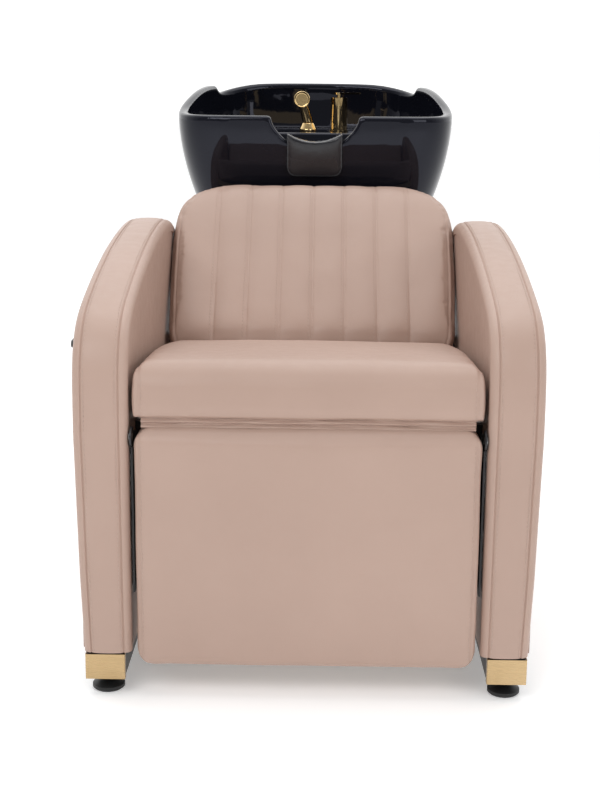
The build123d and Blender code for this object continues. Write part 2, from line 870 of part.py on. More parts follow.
# Side arms: a plate beside the cushion and a flange screwed on the board's back
plate_low_x = legrest_half_width + legrest_arm_clearance
plate_high_x = plate_low_x + legrest_arm_plate
arm_plate_bottom_z = legrest_pivot_z - legrest_arm_length
with BuildPart() as legrest_arms:
    for sign in (1, -1):
        low = min(sign * plate_low_x, sign * plate_high_x)
        with BuildSketch(sideways(low, pivot_y, legrest_pivot_z)):
            Circle(legrest_eye_radius)
            with Locations(((board_rear_y + legrest_arm_plate - pivot_y) / 2, -legrest_arm_length / 2)):
                Rectangle(board_rear_y + legrest_arm_plate - pivot_y, legrest_arm_length)
            Circle(legrest_pin_radius + running_gap, mode=Mode.SUBTRACT)
        extrude(amount=legrest_arm_plate)
        flange_inner = sign * (legrest_board_half - legrest_arm_flange)
        flange_outer = sign * plate_high_x
        add(
            block(
                (min(flange_inner, flange_outer), board_rear_y, arm_plate_bottom_z),
                (
                    max(flange_inner, flange_outer),
                    board_rear_y + legrest_arm_plate,
                    legrest_pivot_z - legrest_eye_radius,
                ),
            )
        )
finish(legrest_arms.part, "legrest_arms")

with BuildPart() as legrest_pivot_pins:
    for sign in (1, -1):
        inner = sign * plate_low_x
        outer = sign * (arm_inner_x + legrest_pin_reach)
        pin_plane = sideways(min(inner, outer), pivot_y, legrest_pivot_z)
        add(rod(pin_plane, legrest_pin_radius, abs(outer - inner)))
finish(legrest_pivot_pins.part, "legrest_pivot_pins")

lug_hole_y = back_from_front(lug_hole_back)
lug_front_y = board_rear_y
with BuildPart() as spring_lug:
    add(
        block(
            (-lug_outer_x, lug_front_y, lug_hole_z - lug_half_height),
            (lug_outer_x, lug_front_y + lug_base, lug_hole_z + lug_half_height),
        )
    )
    for sign in (1, -1):
        low = min(sign * lug_inner_x, sign * lug_outer_x)
        with BuildSketch(sideways(low, lug_hole_y, lug_hole_z)):
            Circle(lug_half_height)
            Circle(lug_hole_radius, mode=Mode.SUBTRACT)
        extrude(amount=lug_plate)
    add(
        block(
            (
                -lug_outer_x - overrun,
                lug_front_y - lug_half_height * 2,
                lug_hole_z - lug_half_height - overrun,
            ),
            (lug_outer_x + overrun, lug_front_y, lug_hole_z + lug_half_height + overrun),
        ),
        mode=Mode.SUBTRACT,
    )
    # Window in the base for the rod's eye
    add(
        block(
            (-lug_inner_x, lug_front_y - overrun, lug_hole_z - spring_eye_radius),
            (lug_inner_x, lug_front_y + lug_base + overrun, lug_hole_z + lug_hole_radius),
        ),
        mode=Mode.SUBTRACT,
    )
finish(spring_lug.part, "gas_spring_lug")

# Leatherette flap over the gap above the legrest, hanging in shallow folds
flap_low_z = legrest_top_z - legrest_plan_radius
flap_top_z = seat_bottom_front_z + flap_tuck
flap_y = back_from_front(flap_at)
fold_width = flap_half_width * 2 / flap_folds
with BuildPart() as legrest_flap:
    with BuildSketch(Plane.XY.offset(flap_low_z)):
        with BuildLine():
            for shift in (0, flap_thickness):
                for i in range(flap_folds):
                    start = -flap_half_width + fold_width * i
                    swell = flap_fold if i % 2 else -flap_fold
                    ThreePointArc(
                        (start, flap_y + shift),
                        (start + fold_width / 2, flap_y + shift + swell),
                        (start + fold_width, flap_y + shift),
                    )
            for end in (-flap_half_width, flap_half_width):
                Line((end, flap_y), (end, flap_y + flap_thickness))
        make_face()
    extrude(amount=flap_top_z - flap_low_z)
    add(seat_cushion.part, mode=Mode.SUBTRACT)
    add(legrest_cushion, mode=Mode.SUBTRACT)
finish(legrest_flap.solids().sort_by(SortBy.VOLUME)[-1], "legrest_flap")


# Release lever: bezel on the arm, lever with its shaft and crank, and the cable to the gas spring
lever_face_x = -(frame_high_x + panel_thickness)
bezel_face_x = lever_face_x - lever_bezel_thickness
lever_end_x = -(arm_half_span + lever_proud)
with BuildPart() as release_bezel:
    with BuildSketch(sideways(bezel_face_x, lever_hub_y, lever_hub_z)):
        Circle(lever_bezel_radius)
        Circle(lever_shaft_radius + running_gap, mode=Mode.SUBTRACT)
    extrude(amount=lever_bezel_thickness)
finish(release_bezel.part, "release_bezel")

lever_low_x = lever_end_x
lever_high_x = bezel_face_x - touch_gap
crank_x = -(frame_high_x - lever_crank_thickness - overrun)
with BuildPart() as release_lever:
    with BuildSketch(sideways(lever_low_x, lever_hub_y, lever_hub_z)):
        Circle(lever_hub_radius)
    extrude(amount=lever_high_x - lever_low_x)
    with BuildSketch(sideways(lever_low_x, lever_hub_y, lever_hub_z)):
        with Locations((-lever_length / 2, 0)):
            SlotOverall(lever_length + lever_thickness, lever_thickness)
    extrude(amount=(lever_high_x - lever_low_x) / 2)
    with BuildSketch(sideways(lever_low_x, lever_hub_y, lever_hub_z)):
        Circle(lever_shaft_radius)
    extrude(amount=crank_x - lever_low_x)
    with BuildSketch(sideways(crank_x - lever_crank_thickness, lever_hub_y, lever_hub_z)):
        with Locations((0, -lever_crank_length / 2)):
            SlotOverall(lever_crank_length + lever_thickness, lever_thickness, rotation=90)
    extrude(amount=lever_crank_thickness)
finish(release_lever.part, "release_lever")

cable_start_z = lever_hub_z - lever_crank_length - lever_thickness - touch_gap
cable_x = crank_x - lever_crank_thickness / 2
cable_end_x = -spring_outer_x - touch_gap * 2


def placed(points):
    """Route points given as (x, distance behind the arms' front plane, z)."""
    return [(x, back_from_front(back), z) for x, back, z in points]


def cable_radii(points):
    """The arc at each corner of a route: a share of its shorter run over the tangent of half the turn."""
    radii = []
    for a, b, c in zip(points[:-2], points[1:-1], points[2:]):
        into = Vector(*b) - Vector(*a)
        out = Vector(*c) - Vector(*b)
        turn = math.radians(into.get_angle(out))
        radii.append(route_share * min(into.length, out.length) / math.tan(turn / 2))
    return radii


def tube(points, radius, bore, name):
    """A round tube along a route, with its arcs and its volume printed."""
    radii = cable_radii(points)
    with BuildPart() as made:
        with BuildLine() as route:
            FilletPolyline(*points, radius=radii)
        start = Plane(origin=route.wire() @ 0, z_dir=route.wire() % 0)
        with BuildSketch(start):
            Circle(radius)
            if bore:
                Circle(bore, mode=Mode.SUBTRACT)
        sweep(path=route.wire())
    area = math.pi * (radius**2 - bore**2)
    share = made.part.volume / (area * route.wire().length)
    print(name, "radii", [round(r, 1) for r in radii], "volume share", round(share, 4))
    return made.part


cable_middle = placed(
    [
        (cable_x, 183.0, 470.0),
        (cable_x, 195.0, 410.0),
        (cable_x + cable_slant, 220.0, 358.0),
        (-262.0, 259.0, 330.0),
        (-212.0, 297.0, 322.0),
        (-156.0, 335.0, 320.0),
        (-98.0, 369.0, 324.0),
        (-48.0, 395.0, 346.0),
    ]
)
cable_start = [(cable_x, lever_hub_y, cable_start_z)]
cable_end = placed([(cable_end_x, spring_eye_back, spring_eye_z - cable_end_drop)])
cable_points = cable_start + cable_middle + cable_end
finish(tube(cable_points, cable_radius, 0, "release_cable"), "release_cable")


# Rear frame: channels open at the bottom, a cross bar between the rails, a spine and a foot bar
def channel(near, far, open_ends):
    """A channel between two corners, open below, and with open ends along the axis that open_ends names."""
    low = (near[0], near[1], rail_bottom_z)
    high = (far[0], far[1], rail_top_z)
    wall = rear_channel_wall
    ease_x = overrun if open_ends == "X" else -wall
    ease_y = overrun if open_ends == "Y" else -wall
    inner_low = (low[0] - ease_x, low[1] - ease_y, low[2] - overrun)
    inner_high = (high[0] + ease_x, high[1] + ease_y, high[2] - wall)
    return block(low, high), block(inner_low, inner_high)


rear_tube_y = back_from_front(rear_tube_at)
foot_bar_y = behind_bowl_front(foot_bar_behind)
spine_front_y = rear_tube_y + rear_tube_width
channels = (
    ((-rail_inner_x, rear_tube_y), (rail_inner_x, spine_front_y), "X"),
    ((-spine_width / 2, spine_front_y), (spine_width / 2, foot_bar_y), ""),
    ((-foot_bar_half, foot_bar_y), (foot_bar_half, foot_bar_y + rear_tube_width), ""),
)
with BuildPart() as rear_frame:
    for low, high, open_ends in channels:
        add(channel(low, high, open_ends)[0])
    for low, high, open_ends in channels:
        add(channel(low, high, open_ends)[1], mode=Mode.SUBTRACT)
finish(rear_frame.part, "rear_frame")

with BuildPart() as pedestal_glides:
    for sign in (1, -1):
        glide_plane = upright(sign * glide_x, foot_bar_y + rear_tube_width / 2, 0)
        add(rod(glide_plane, glide_radius, rail_bottom_z))
        plug_radius = rear_tube_width / 2 - rear_channel_wall - touch_gap
        add(rod(glide_plane, plug_radius, rail_top_z - rear_channel_wall))
finish(pedestal_glides.part, "pedestal_glides")


# Pedestal column with its head plate, hinge ears and the shelf for the water inlets
def ear(low_x, thickness, base_z):
    """A hinge ear round the tilt bolt, standing up or hanging down from base_z."""
    with BuildPart() as made:
        with BuildSketch(sideways(low_x, column_y, tilt_z)):
            Circle(tilt_ear_radius)
            with Locations((0, (base_z - tilt_z) / 2)):
                Rectangle(tilt_ear_radius * 2, abs(base_z - tilt_z))
            Circle(tilt_bolt_radius + running_gap, mode=Mode.SUBTRACT)
        extrude(amount=thickness)
    return made.part


head_top_z = column_top_z + head_plate
outer_ear_high_x = tilt_outer_ear_x + tilt_ear
inlet_y = behind_bowl_front(inlet_behind)
with BuildPart() as pedestal_column:
    with BuildSketch(upright(0, column_y, rail_top_z)):
        Rectangle(column_width, column_width)
        Rectangle(column_width - column_wall * 2, column_width - column_wall * 2, mode=Mode.SUBTRACT)
    extrude(amount=column_top_z - rail_top_z)
    add(
        block(
            (-head_half, column_y - head_half_depth, column_top_z),
            (head_half, column_y + head_half_depth, head_top_z),
        )
    )
    for low_x in (tilt_outer_ear_x, -outer_ear_high_x):
        add(ear(low_x, tilt_ear, head_top_z))
    add(
        block(
            (-shelf_half, column_y + column_width / 2, shelf_z),
            (shelf_half, column_y + column_width / 2 + shelf_depth, shelf_z + shelf_thickness),
        )
    )
    for sign in (1, -1):
        with BuildSketch(upright(sign * inlet_x, inlet_y, shelf_z - overrun)):
            Circle(supply_radius + running_gap)
        extrude(amount=shelf_thickness + overrun * 2, mode=Mode.SUBTRACT)
finish(pedestal_column.part, "pedestal_column")

with BuildPart() as tilt_bolt:
    bolt_reach = outer_ear_high_x + tilt_ear
    add(rod(sideways(-bolt_reach, column_y, tilt_z), tilt_bolt_radius, bolt_reach * 2))
    for low_x in (-outer_ear_high_x - tilt_ear - touch_gap, outer_ear_high_x + touch_gap):
        with BuildSketch(sideways(low_x, column_y, tilt_z)):
            RegularPolygon(tilt_bolt_radius + tilt_nut_margin, nut_sides)
        extrude(amount=tilt_ear)
finish(tilt_bolt.part, "tilt_bolt")

# Bowl cradle: a bar under the bowl's walls with two ears on the tilt bolt
cradle_low_z = bowl_bottom_z - cradle_plate
with BuildPart() as bowl_cradle:
    add(
        block(
            (-cradle_half, column_y - cradle_half_depth, cradle_low_z),
            (cradle_half, column_y + cradle_half_depth, bowl_bottom_z),
        )
    )
    inner_ear_high_x = tilt_outer_ear_x - tilt_ear_gap
    for low_x in (inner_ear_high_x - tilt_ear, -inner_ear_high_x):
        add(ear(low_x, tilt_ear, cradle_low_z))
finish(bowl_cradle.part, "bowl_cradle")

# Water inlets: threaded tails under the shelf, hexagons, and spigots for the hoses
with BuildPart() as inlet_fittings:
    for sign in (1, -1):
        hex_low_z = shelf_z - inlet_hex_height
        with BuildSketch(upright(sign * inlet_x, inlet_y, hex_low_z)):
            RegularPolygon(inlet_hex_radius, nut_sides)
        extrude(amount=inlet_hex_height)
        add(rod(upright(sign * inlet_x, inlet_y, hex_low_z - inlet_length), inlet_radius, inlet_length))
        tail_plane = upright(sign * inlet_x, inlet_y, shelf_z)
        add(rod(tail_plane, supply_radius, shelf_thickness + inlet_tail_height))
finish(inlet_fittings.part, "inlet_fittings")


# Pedestal housing: a rounded shell with a mouth on top and a service opening at the rear
housing_front_y = behind_bowl_front(housing_front_behind)
housing_rear_y = behind_bowl_front(housing_rear_behind)
housing_middle_y = (housing_front_y + housing_rear_y) / 2
housing_depth = housing_rear_y - housing_front_y
access_middle_z = (access_bottom_z + access_top_z) / 2
access_height = access_top_z - access_bottom_z
access_screws = [
    (sign_x * (access_half + access_lap / 2), access_middle_z + sign_z * (access_height / 2 + access_lap / 2))
    for sign_x in (1, -1)
    for sign_z in (1, -1)
]
rear_face = Plane(origin=(0, housing_rear_y, 0), x_dir=(1, 0, 0), z_dir=(0, -1, 0))


def screw_places(face, points, radius, start, depth):
    """Round bars or holes at the screws' places on a face, start outside it and depth long."""
    with BuildPart() as made:
        with BuildSketch(face.offset(-start)):
            with Locations(*points):
                Circle(radius)
        extrude(amount=depth)
    return made.part


with BuildPart() as pedestal_housing:
    with BuildSketch(upright(0, housing_middle_y, rail_top_z)):
        RectangleRounded(housing_half * 2, housing_depth, housing_corner)
    extrude(amount=housing_top_z - rail_top_z)
    with BuildSketch(upright(0, housing_middle_y, rail_top_z - overrun)):
        RectangleRounded(
            (housing_half - housing_wall) * 2,
            housing_depth - housing_wall * 2,
            housing_corner - housing_wall,
        )
    extrude(amount=housing_top_z - housing_wall - rail_top_z + overrun, mode=Mode.SUBTRACT)
    with BuildSketch(upright(0, housing_middle_y, housing_top_z - housing_wall - overrun)):
        RectangleRounded(
            (housing_half - housing_mouth_margin) * 2,
            housing_depth - housing_mouth_margin * 2,
            housing_corner - housing_mouth_margin,
        )
    extrude(amount=housing_wall + overrun * 2, mode=Mode.SUBTRACT)
    with BuildSketch(rear_face.offset(-overrun)):
        with Locations((0, access_middle_z)):
            Rectangle(access_half * 2, access_height)
    extrude(amount=housing_wall + overrun * 2, mode=Mode.SUBTRACT)
    add(
        screw_places(rear_face, access_screws, screw_hole_radius, overrun, housing_wall + overrun * 2),
        mode=Mode.SUBTRACT,
    )
finish(pedestal_housing.part, "pedestal_housing")

with BuildPart() as rear_access_panel:
    with BuildSketch(rear_face.offset(-access_thickness)):
        with Locations((0, access_middle_z)):
            RectangleRounded((access_half + access_lap) * 2, access_height + access_lap * 2, access_lap / 2)
    extrude(amount=access_thickness)
    add(
        screw_places(
            rear_face,
            access_screws,
            screw_hole_radius,
            access_thickness + overrun,
            access_thickness + overrun * 2,
        ),
        mode=Mode.SUBTRACT,
    )
finish(rear_access_panel.part, "rear_access_panel")

with BuildPart() as panel_screws:
    screw_start = access_thickness + screw_head_height
    screw_depth = access_thickness + housing_wall
    add(screw_places(rear_face, access_screws, screw_radius, access_thickness, screw_depth))
    add(screw_places(rear_face, access_screws, screw_head_radius, screw_start, screw_head_height))
finish(panel_screws.part, "panel_screws")


# Ceramic bowl
bowl_levels = (
    (bowl_bottom_z, bowl_foot_inset),
    (bowl_middle_z, bowl_middle_inset),
    (bowl_top_z, 0),
    (bowl_height_top_z, bowl_turn_in),
)


def bowl_inset(z):
    """How far the bowl's outer wall is drawn in at a height."""
    for (low_z, low_inset), (high_z, high_inset) in zip(bowl_levels[:-1], bowl_levels[1:]):
        if z <= high_z:
            return low_inset + (high_inset - low_inset) * (z - low_z) / (high_z - low_z)
    return bowl_turn_in


def bowl_section(z, front, rear, half):
    """The right half of a level section of the bowl: a straight front, round corners, a rounded rear."""
    flat = half * bowl_flat_share
    wide_y = front + (rear - front) * bowl_wide_share
    ear_y = front + (rear - front) * bowl_ear_share
    ear_half = half * bowl_ear_half_share
    with BuildSketch(Plane.XY.offset(z)) as section:
        with BuildLine():
            Line((0, rear), (0, front))
            Line((0, front), (flat, front))
            Spline((flat, front), (half, wide_y), (ear_half, ear_y), (0, rear), tangents=[(1, 0), (-1, 0)])
        make_face()
    return section.sketch


def both_halves(sections, extra):
    """A loft through half sections, carried on straight by extra, with its mirror image."""
    with BuildPart() as made:
        loft(sections)
        if extra:
            add(sections[-1] if extra > 0 else sections[0])
            extrude(amount=extra)
        mirror(about=Plane.YZ)
    return made.part


def bowl_level(z, extra):
    """The bowl's outline at a height, drawn in by extra."""
    inset = bowl_inset(z) + extra
    return bowl_section(z, bowl_front_y + inset, bowl_rear_y - inset, bowl_half - inset)


deck_under_z = deck_z - deck_thickness


def basin_sections(grow):
    """Sections of the deep basin, larger all round and below by grow."""
    top_inset = bowl_inset(deck_z) + bowl_wall
    middle_inset = bowl_inset(basin_middle_z) + bowl_wall + basin_slope_inset
    floor_reach = basin_floor_half - bowl_skin
    return [
        bowl_section(
            basin_floor_z - grow,
            drain_y - floor_reach - grow,
            drain_y + floor_reach + grow,
            basin_floor_half + grow,
        ),
        bowl_section(
            basin_middle_z - grow / 2,
            bowl_front_y + middle_inset - grow,
            deck_front_y - basin_slope_inset + grow,
            basin_middle_half + grow,
        ),
        bowl_section(deck_z, bowl_front_y + top_inset - grow, deck_front_y + grow, basin_top_half + grow),
    ]


basin_space = both_halves(basin_sections(0), overrun)
basin_backing = both_halves(basin_sections(bowl_skin), 0)
upper_levels = (deck_z, bowl_top_z, bowl_height_top_z)
upper_space = both_halves([bowl_level(z, bowl_wall) for z in upper_levels], overrun)
under_levels = (bowl_bottom_z, bowl_middle_z, deck_under_z)
with BuildPart() as under_space:
    add(both_halves([bowl_level(z, bowl_skin) for z in under_levels], -overrun))
    add(basin_backing, mode=Mode.SUBTRACT)



def rim_edges(made):
    """The edges that run along the rim's upper faces, without the ones between two such faces."""
    upper = [
        face
        for face in made.faces()
        if face.normal_at(face.center()).Z > rim_facing and face.center().Z > bowl_top_z - rim_round
    ]
    edges = [edge for face in upper for edge in face.edges()]
    middles = [edge.center() for edge in edges]
    return [
        edge
        for edge, middle in zip(edges, middles)
        if sum((middle - other).length < running_gap for other in middles) == 1
    ]


rim_over_y = bowl_rear_y + bowl_wall
rim_start_y = bowl_front_y - bowl_wall
with BuildPart() as bowl:
    add(both_halves([bowl_level(z, 0) for z, _ in bowl_levels], 0))
    add(upper_space, mode=Mode.SUBTRACT)
    add(basin_space, mode=Mode.SUBTRACT)
    add(under_space.part, mode=Mode.SUBTRACT)
    # The rim climbs from the front to two ears, drops behind them and arches up at the rear
    with BuildSketch(Plane.YZ.offset(-bowl_half - bowl_wall)):
        with BuildLine():
            Line((rim_start_y, bowl_top_z), (behind_bowl_front(rim_rise_behind), bowl_top_z))
            Spline(
                (behind_bowl_front(rim_rise_behind), bowl_top_z),
                (behind_bowl_front(rim_middle_behind), rim_middle_z),
                (behind_bowl_front(ear_behind), ear_z),
                tangents=[(1, 0), (1, 0)],
            )
            Spline(
                (behind_bowl_front(ear_behind), ear_z),
                (behind_bowl_front(ear_step_behind), ear_back_z),
                (behind_bowl_front(ear_rise_behind), ear_rise_z),
                (bowl_rear_y, bowl_rear_z),
                tangents=[(1, 0), (1, 0)],
            )
            Line((bowl_rear_y, bowl_rear_z), (rim_over_y, bowl_rear_z))
            Line((rim_over_y, bowl_rear_z), (rim_over_y, bowl_height_top_z + overrun))
            Line((rim_over_y, bowl_height_top_z + overrun), (rim_start_y, bowl_height_top_z + overrun))
            Line((rim_start_y, bowl_height_top_z + overrun), (rim_start_y, bowl_top_z))
        make_face()
    extrude(amount=(bowl_half + bowl_wall) * 2, mode=Mode.SUBTRACT)
    # Notch for the neck in the front wall
    with BuildSketch(Plane.XZ.offset(-bowl_front_y + overrun)):
        with BuildLine():
            ThreePointArc((-notch_lip_half, notch_side_z), (0, notch_lip_z), (notch_lip_half, notch_side_z))
            Spline(
                (notch_lip_half, notch_side_z),
                (notch_half, bowl_top_z + overrun),
                tangents=[(1, 1), (0, 1)],
            )
            Line((notch_half, bowl_top_z + overrun), (-notch_half, bowl_top_z + overrun))
            Spline(
                (-notch_half, bowl_top_z + overrun),
                (-notch_lip_half, notch_side_z),
                tangents=[(0, -1), (1, -1)],
            )
        make_face()
    extrude(amount=-notch_depth - overrun, mode=Mode.SUBTRACT)
    fillet(rim_edges(bowl), rim_round)
    # Holes for the mixer, the hand spray's holder and the drain
    for x, y, radius, low_z, high_z in (
        (mixer_x, tap_y, mixer_shank_radius, deck_under_z, deck_z),
        (spray_x, tap_y, holder_shank_radius, deck_under_z, deck_z),
        (0, drain_y, drain_radius, basin_floor_z - bowl_skin, basin_floor_z),
    ):
        with BuildSketch(upright(x, y, low_z - overrun)):
            Circle(radius + touch_gap)
        extrude(amount=high_z - low_z + overrun * 2, mode=Mode.SUBTRACT)
finish(bowl.part, "bowl")

# Neck rest hooked over the notch's lip
neck_saddle_radius = (neck_half**2 + neck_dip**2) / (2 * neck_dip)


def neck_wall_y(z):
    """The Y of the bowl's outer front wall at a height."""
    return bowl_front_y + bowl_inset(z)


neck_inner_z = notch_lip_z - neck_inner_drop
with BuildPart() as neck_rest:
    with BuildSketch(Plane.YZ.offset(-neck_half)):
        with BuildLine():
            Polyline(
                (neck_wall_y(neck_bottom_z) - neck_thickness, neck_bottom_z),
                (neck_wall_y(neck_top_z) - neck_thickness, neck_top_z),
                (neck_wall_y(neck_top_z) + bowl_wall + neck_thickness / 2, neck_top_z),
                (neck_wall_y(neck_inner_z) + bowl_wall + neck_thickness, neck_inner_z),
                (neck_wall_y(neck_inner_z) + bowl_wall / 2, neck_inner_z),
                (neck_wall_y(neck_bottom_z) + bowl_skin / 2, neck_bottom_z),
                close=True,
            )
        make_face()
    extrude(amount=neck_half * 2)
    fillet(neck_rest.edges().filter_by(Axis.X).group_by(Axis.Z)[-1], neck_round)
    fillet(neck_rest.edges().filter_by(Axis.Y).group_by(Axis.Z)[0], neck_corner_round)
    with BuildSketch(Plane.XZ.offset(-neck_wall_y(neck_top_z) + neck_thickness + overrun)):
        with Locations((0, neck_top_z - neck_dip + neck_saddle_radius)):
            Circle(neck_saddle_radius)
    extrude(amount=-bowl_wall - neck_thickness * 2 - overrun * 2, mode=Mode.SUBTRACT)
    add(bowl.part, mode=Mode.SUBTRACT)
finish(neck_rest.part, "neck_rest")


def turned(x, y, outline):
    """A piece turned about an upright axis at a place; outline is a list of (radius, height)."""
    with BuildPart() as made:
        with BuildSketch(Plane(origin=(x, y, 0), x_dir=(1, 0, 0), z_dir=(0, -1, 0))):
            with BuildLine():
                Polyline(*outline, close=True)
            make_face()
        revolve(axis=Axis((x, y, 0), (0, 0, 1)))
    return made.part


# Drain flange with its tail, and the hair strainer that lifts out of it
drain_bore = drain_radius - drain_pipe_wall
flange_top_z = basin_floor_z + drain_flange_thickness
ledge_z = basin_floor_z + drain_ledge
drain_flange = turned(
    0,
    drain_y,
    [
        (drain_bore, drain_tail_z),
        (drain_radius, drain_tail_z),
        (drain_radius, basin_floor_z),
        (drain_flange_radius, basin_floor_z),
        (drain_flange_radius, flange_top_z),
        (strainer_rim_radius + touch_gap, flange_top_z),
        (strainer_rim_radius + touch_gap, ledge_z),
        (drain_bore, ledge_z),
    ],
)
finish(drain_flange, "drain_flange")

strainer_low_z = ledge_z - strainer_depth
rim_low_z = ledge_z + touch_gap
rim_high_z = rim_low_z + strainer_wall
with BuildPart() as hair_strainer:
    add(
        turned(
            0,
            drain_y,
            [
                (0, strainer_low_z),
                (strainer_radius, strainer_low_z),
                (strainer_radius, rim_low_z),
                (strainer_rim_radius, rim_low_z),
                (strainer_rim_radius, rim_high_z),
                (strainer_radius - strainer_wall, rim_high_z),
                (strainer_radius - strainer_wall, strainer_low_z + strainer_wall),
                (0, strainer_low_z + strainer_wall),
            ],
        )
    )
    with BuildSketch(upright(0, drain_y, strainer_low_z - overrun)):
        Circle(strainer_hole_radius)
        with PolarLocations(strainer_ring_radius, strainer_outer_holes):
            Circle(strainer_hole_radius)
        with PolarLocations(strainer_ring_radius / 2, strainer_inner_holes):
            Circle(strainer_hole_radius)
    extrude(amount=strainer_wall + overrun * 2, mode=Mode.SUBTRACT)
finish(hair_strainer.part, "hair_strainer")

# Mixer: body with its shank, turning cap, and lever on a cross pin in the cap
cap_low_z = mixer_body_top_z + touch_gap
cap_floor_z = cap_low_z + mixer_flange_height
spigot_radius = mixer_neck_radius + mixer_lever_thickness / 2
mixer_outline = [
    (0, mixer_shank_bottom_z),
    (mixer_shank_radius, mixer_shank_bottom_z),
    (mixer_shank_radius, deck_z),
    (mixer_flange_radius, deck_z),
    (mixer_flange_radius, deck_z + mixer_flange_height),
    (mixer_radius, deck_z + mixer_flange_height),
    (mixer_radius, mixer_body_top_z),
    (spigot_radius, mixer_body_top_z),
    (spigot_radius, cap_floor_z),
    (0, cap_floor_z),
]
with BuildPart() as mixer_body:
    add(turned(mixer_x, tap_y, mixer_outline))
    with Locations((mixer_x, tap_y, mixer_ball_z)):
        Sphere(mixer_ball_radius + running_gap, mode=Mode.SUBTRACT)
finish(mixer_body.part, "mixer_body")

lever_turn = math.radians(mixer_lever_turn)
lever_direction = (math.cos(lever_turn), math.sin(lever_turn), 0)
lever_side = (-math.sin(lever_turn), math.cos(lever_turn), 0)
trunnion_radius = mixer_neck_radius / 2
cap_bore = mixer_radius - mixer_cap_wall
trunnion_plane = Plane(origin=(mixer_x, tap_y, mixer_ball_z), x_dir=(0, 0, 1), z_dir=lever_side)
with BuildPart() as mixer_cap:
    add(
        turned(
            mixer_x,
            tap_y,
            [
                (spigot_radius + running_gap, cap_low_z),
                (mixer_radius, cap_low_z),
                (mixer_radius, mixer_cap_top_z),
                (cap_bore, mixer_cap_top_z),
                (cap_bore, cap_floor_z),
                (spigot_radius + running_gap, cap_floor_z),
            ],
        )
    )
    pin_reach = mixer_radius - mixer_cap_wall / 2
    add(
        rod(trunnion_plane.offset(-pin_reach), trunnion_radius + running_gap, pin_reach * 2),
        mode=Mode.SUBTRACT,
    )
finish(mixer_cap.part, "mixer_cap")

with BuildPart() as mixer_lever:
    add(Pos(mixer_x, tap_y, mixer_ball_z) * Sphere(mixer_ball_radius, mode=Mode.PRIVATE))
    neck_height = mixer_lever_z - mixer_ball_z + mixer_lever_thickness / 2
    add(rod(upright(mixer_x, tap_y, mixer_ball_z), mixer_neck_radius, neck_height))
    trunnion_reach = mixer_radius - mixer_cap_wall / 2 - touch_gap
    add(rod(trunnion_plane.offset(-trunnion_reach), trunnion_radius, trunnion_reach * 2))
    lever_plane = Plane(origin=(mixer_x, tap_y, mixer_lever_z), x_dir=lever_direction, z_dir=(0, 0, 1))
    with BuildSketch(lever_plane):
        with Locations(((mixer_lever_length - mixer_lever_tail) / 2, 0)):
            RectangleRounded(mixer_lever_length + mixer_lever_tail, mixer_lever_width, mixer_lever_corner)
    extrude(amount=mixer_lever_thickness)
finish(mixer_lever.part, "mixer_lever")

# Holder on the deck, hand spray standing in it, and the straight hose that runs with it
spray_holder = turned(
    spray_x,
    tap_y,
    [
        (holder_bore_radius, mixer_shank_bottom_z),
        (holder_shank_radius, mixer_shank_bottom_z),
        (holder_shank_radius, deck_z),
        (holder_flange_radius, deck_z),
        (holder_flange_radius, deck_z + holder_flange_height),
        (holder_top_radius, holder_top_z),
        (holder_bore_radius, holder_top_z),
    ],
)
finish(spray_holder, "spray_holder")

head_y = tap_y - spray_head_forward
head_x = spray_x + spray_head_shift
neck_low_z = holder_top_z + touch_gap
head_plane = Plane(origin=(head_x, head_y, spray_head_z), x_dir=(1, 0, 0), z_dir=(0, -1, 0))
with BuildPart() as hand_spray:
    stem_plane = upright(spray_x, tap_y, spray_stem_bottom_z)
    add(rod(stem_plane, spray_stem_radius, neck_low_z - spray_stem_bottom_z))
    with BuildSketch(upright(spray_x, tap_y, neck_low_z)):
        Circle(holder_top_radius)
    with BuildSketch(upright(head_x, head_y, spray_head_z)):
        Circle(spray_neck_radius)
    loft()
    with BuildSketch(head_plane.offset(-spray_head_length / 2)):
        Circle(spray_head_radius)
    extrude(amount=spray_head_length)
    fillet(hand_spray.faces().sort_by(Axis.Y)[-1].edges(), spray_head_round)
    with BuildSketch(head_plane.offset(spray_head_length / 2)):
        Circle(spray_head_radius - spray_nozzle_depth)
    extrude(amount=-spray_nozzle_depth, mode=Mode.SUBTRACT)
finish(hand_spray.part, "hand_spray")

spray_hose = rod(
    upright(spray_x, tap_y, spray_hose_bottom_z),
    spray_hose_radius,
    spray_stem_bottom_z - spray_hose_bottom_z,
)
finish(spray_hose, "spray_hose")

with BuildPart() as tap_nuts:
    for x, radius in ((mixer_x, mixer_shank_radius), (spray_x, holder_shank_radius)):
        with BuildSketch(upright(x, tap_y, deck_under_z - nut_height)):
            RegularPolygon(radius + nut_margin, nut_sides)
            Circle(radius + running_gap, mode=Mode.SUBTRACT)
        extrude(amount=nut_height)
finish(tap_nuts.part, "tap_nuts")


# Hoses inside the pedestal; the points of each route are chosen by hand
def under_bowl(points):
    """Route points given as (x, distance behind the bowl's front wall, z)."""
    return [(x, behind_bowl_front(back), z) for x, back, z in points]


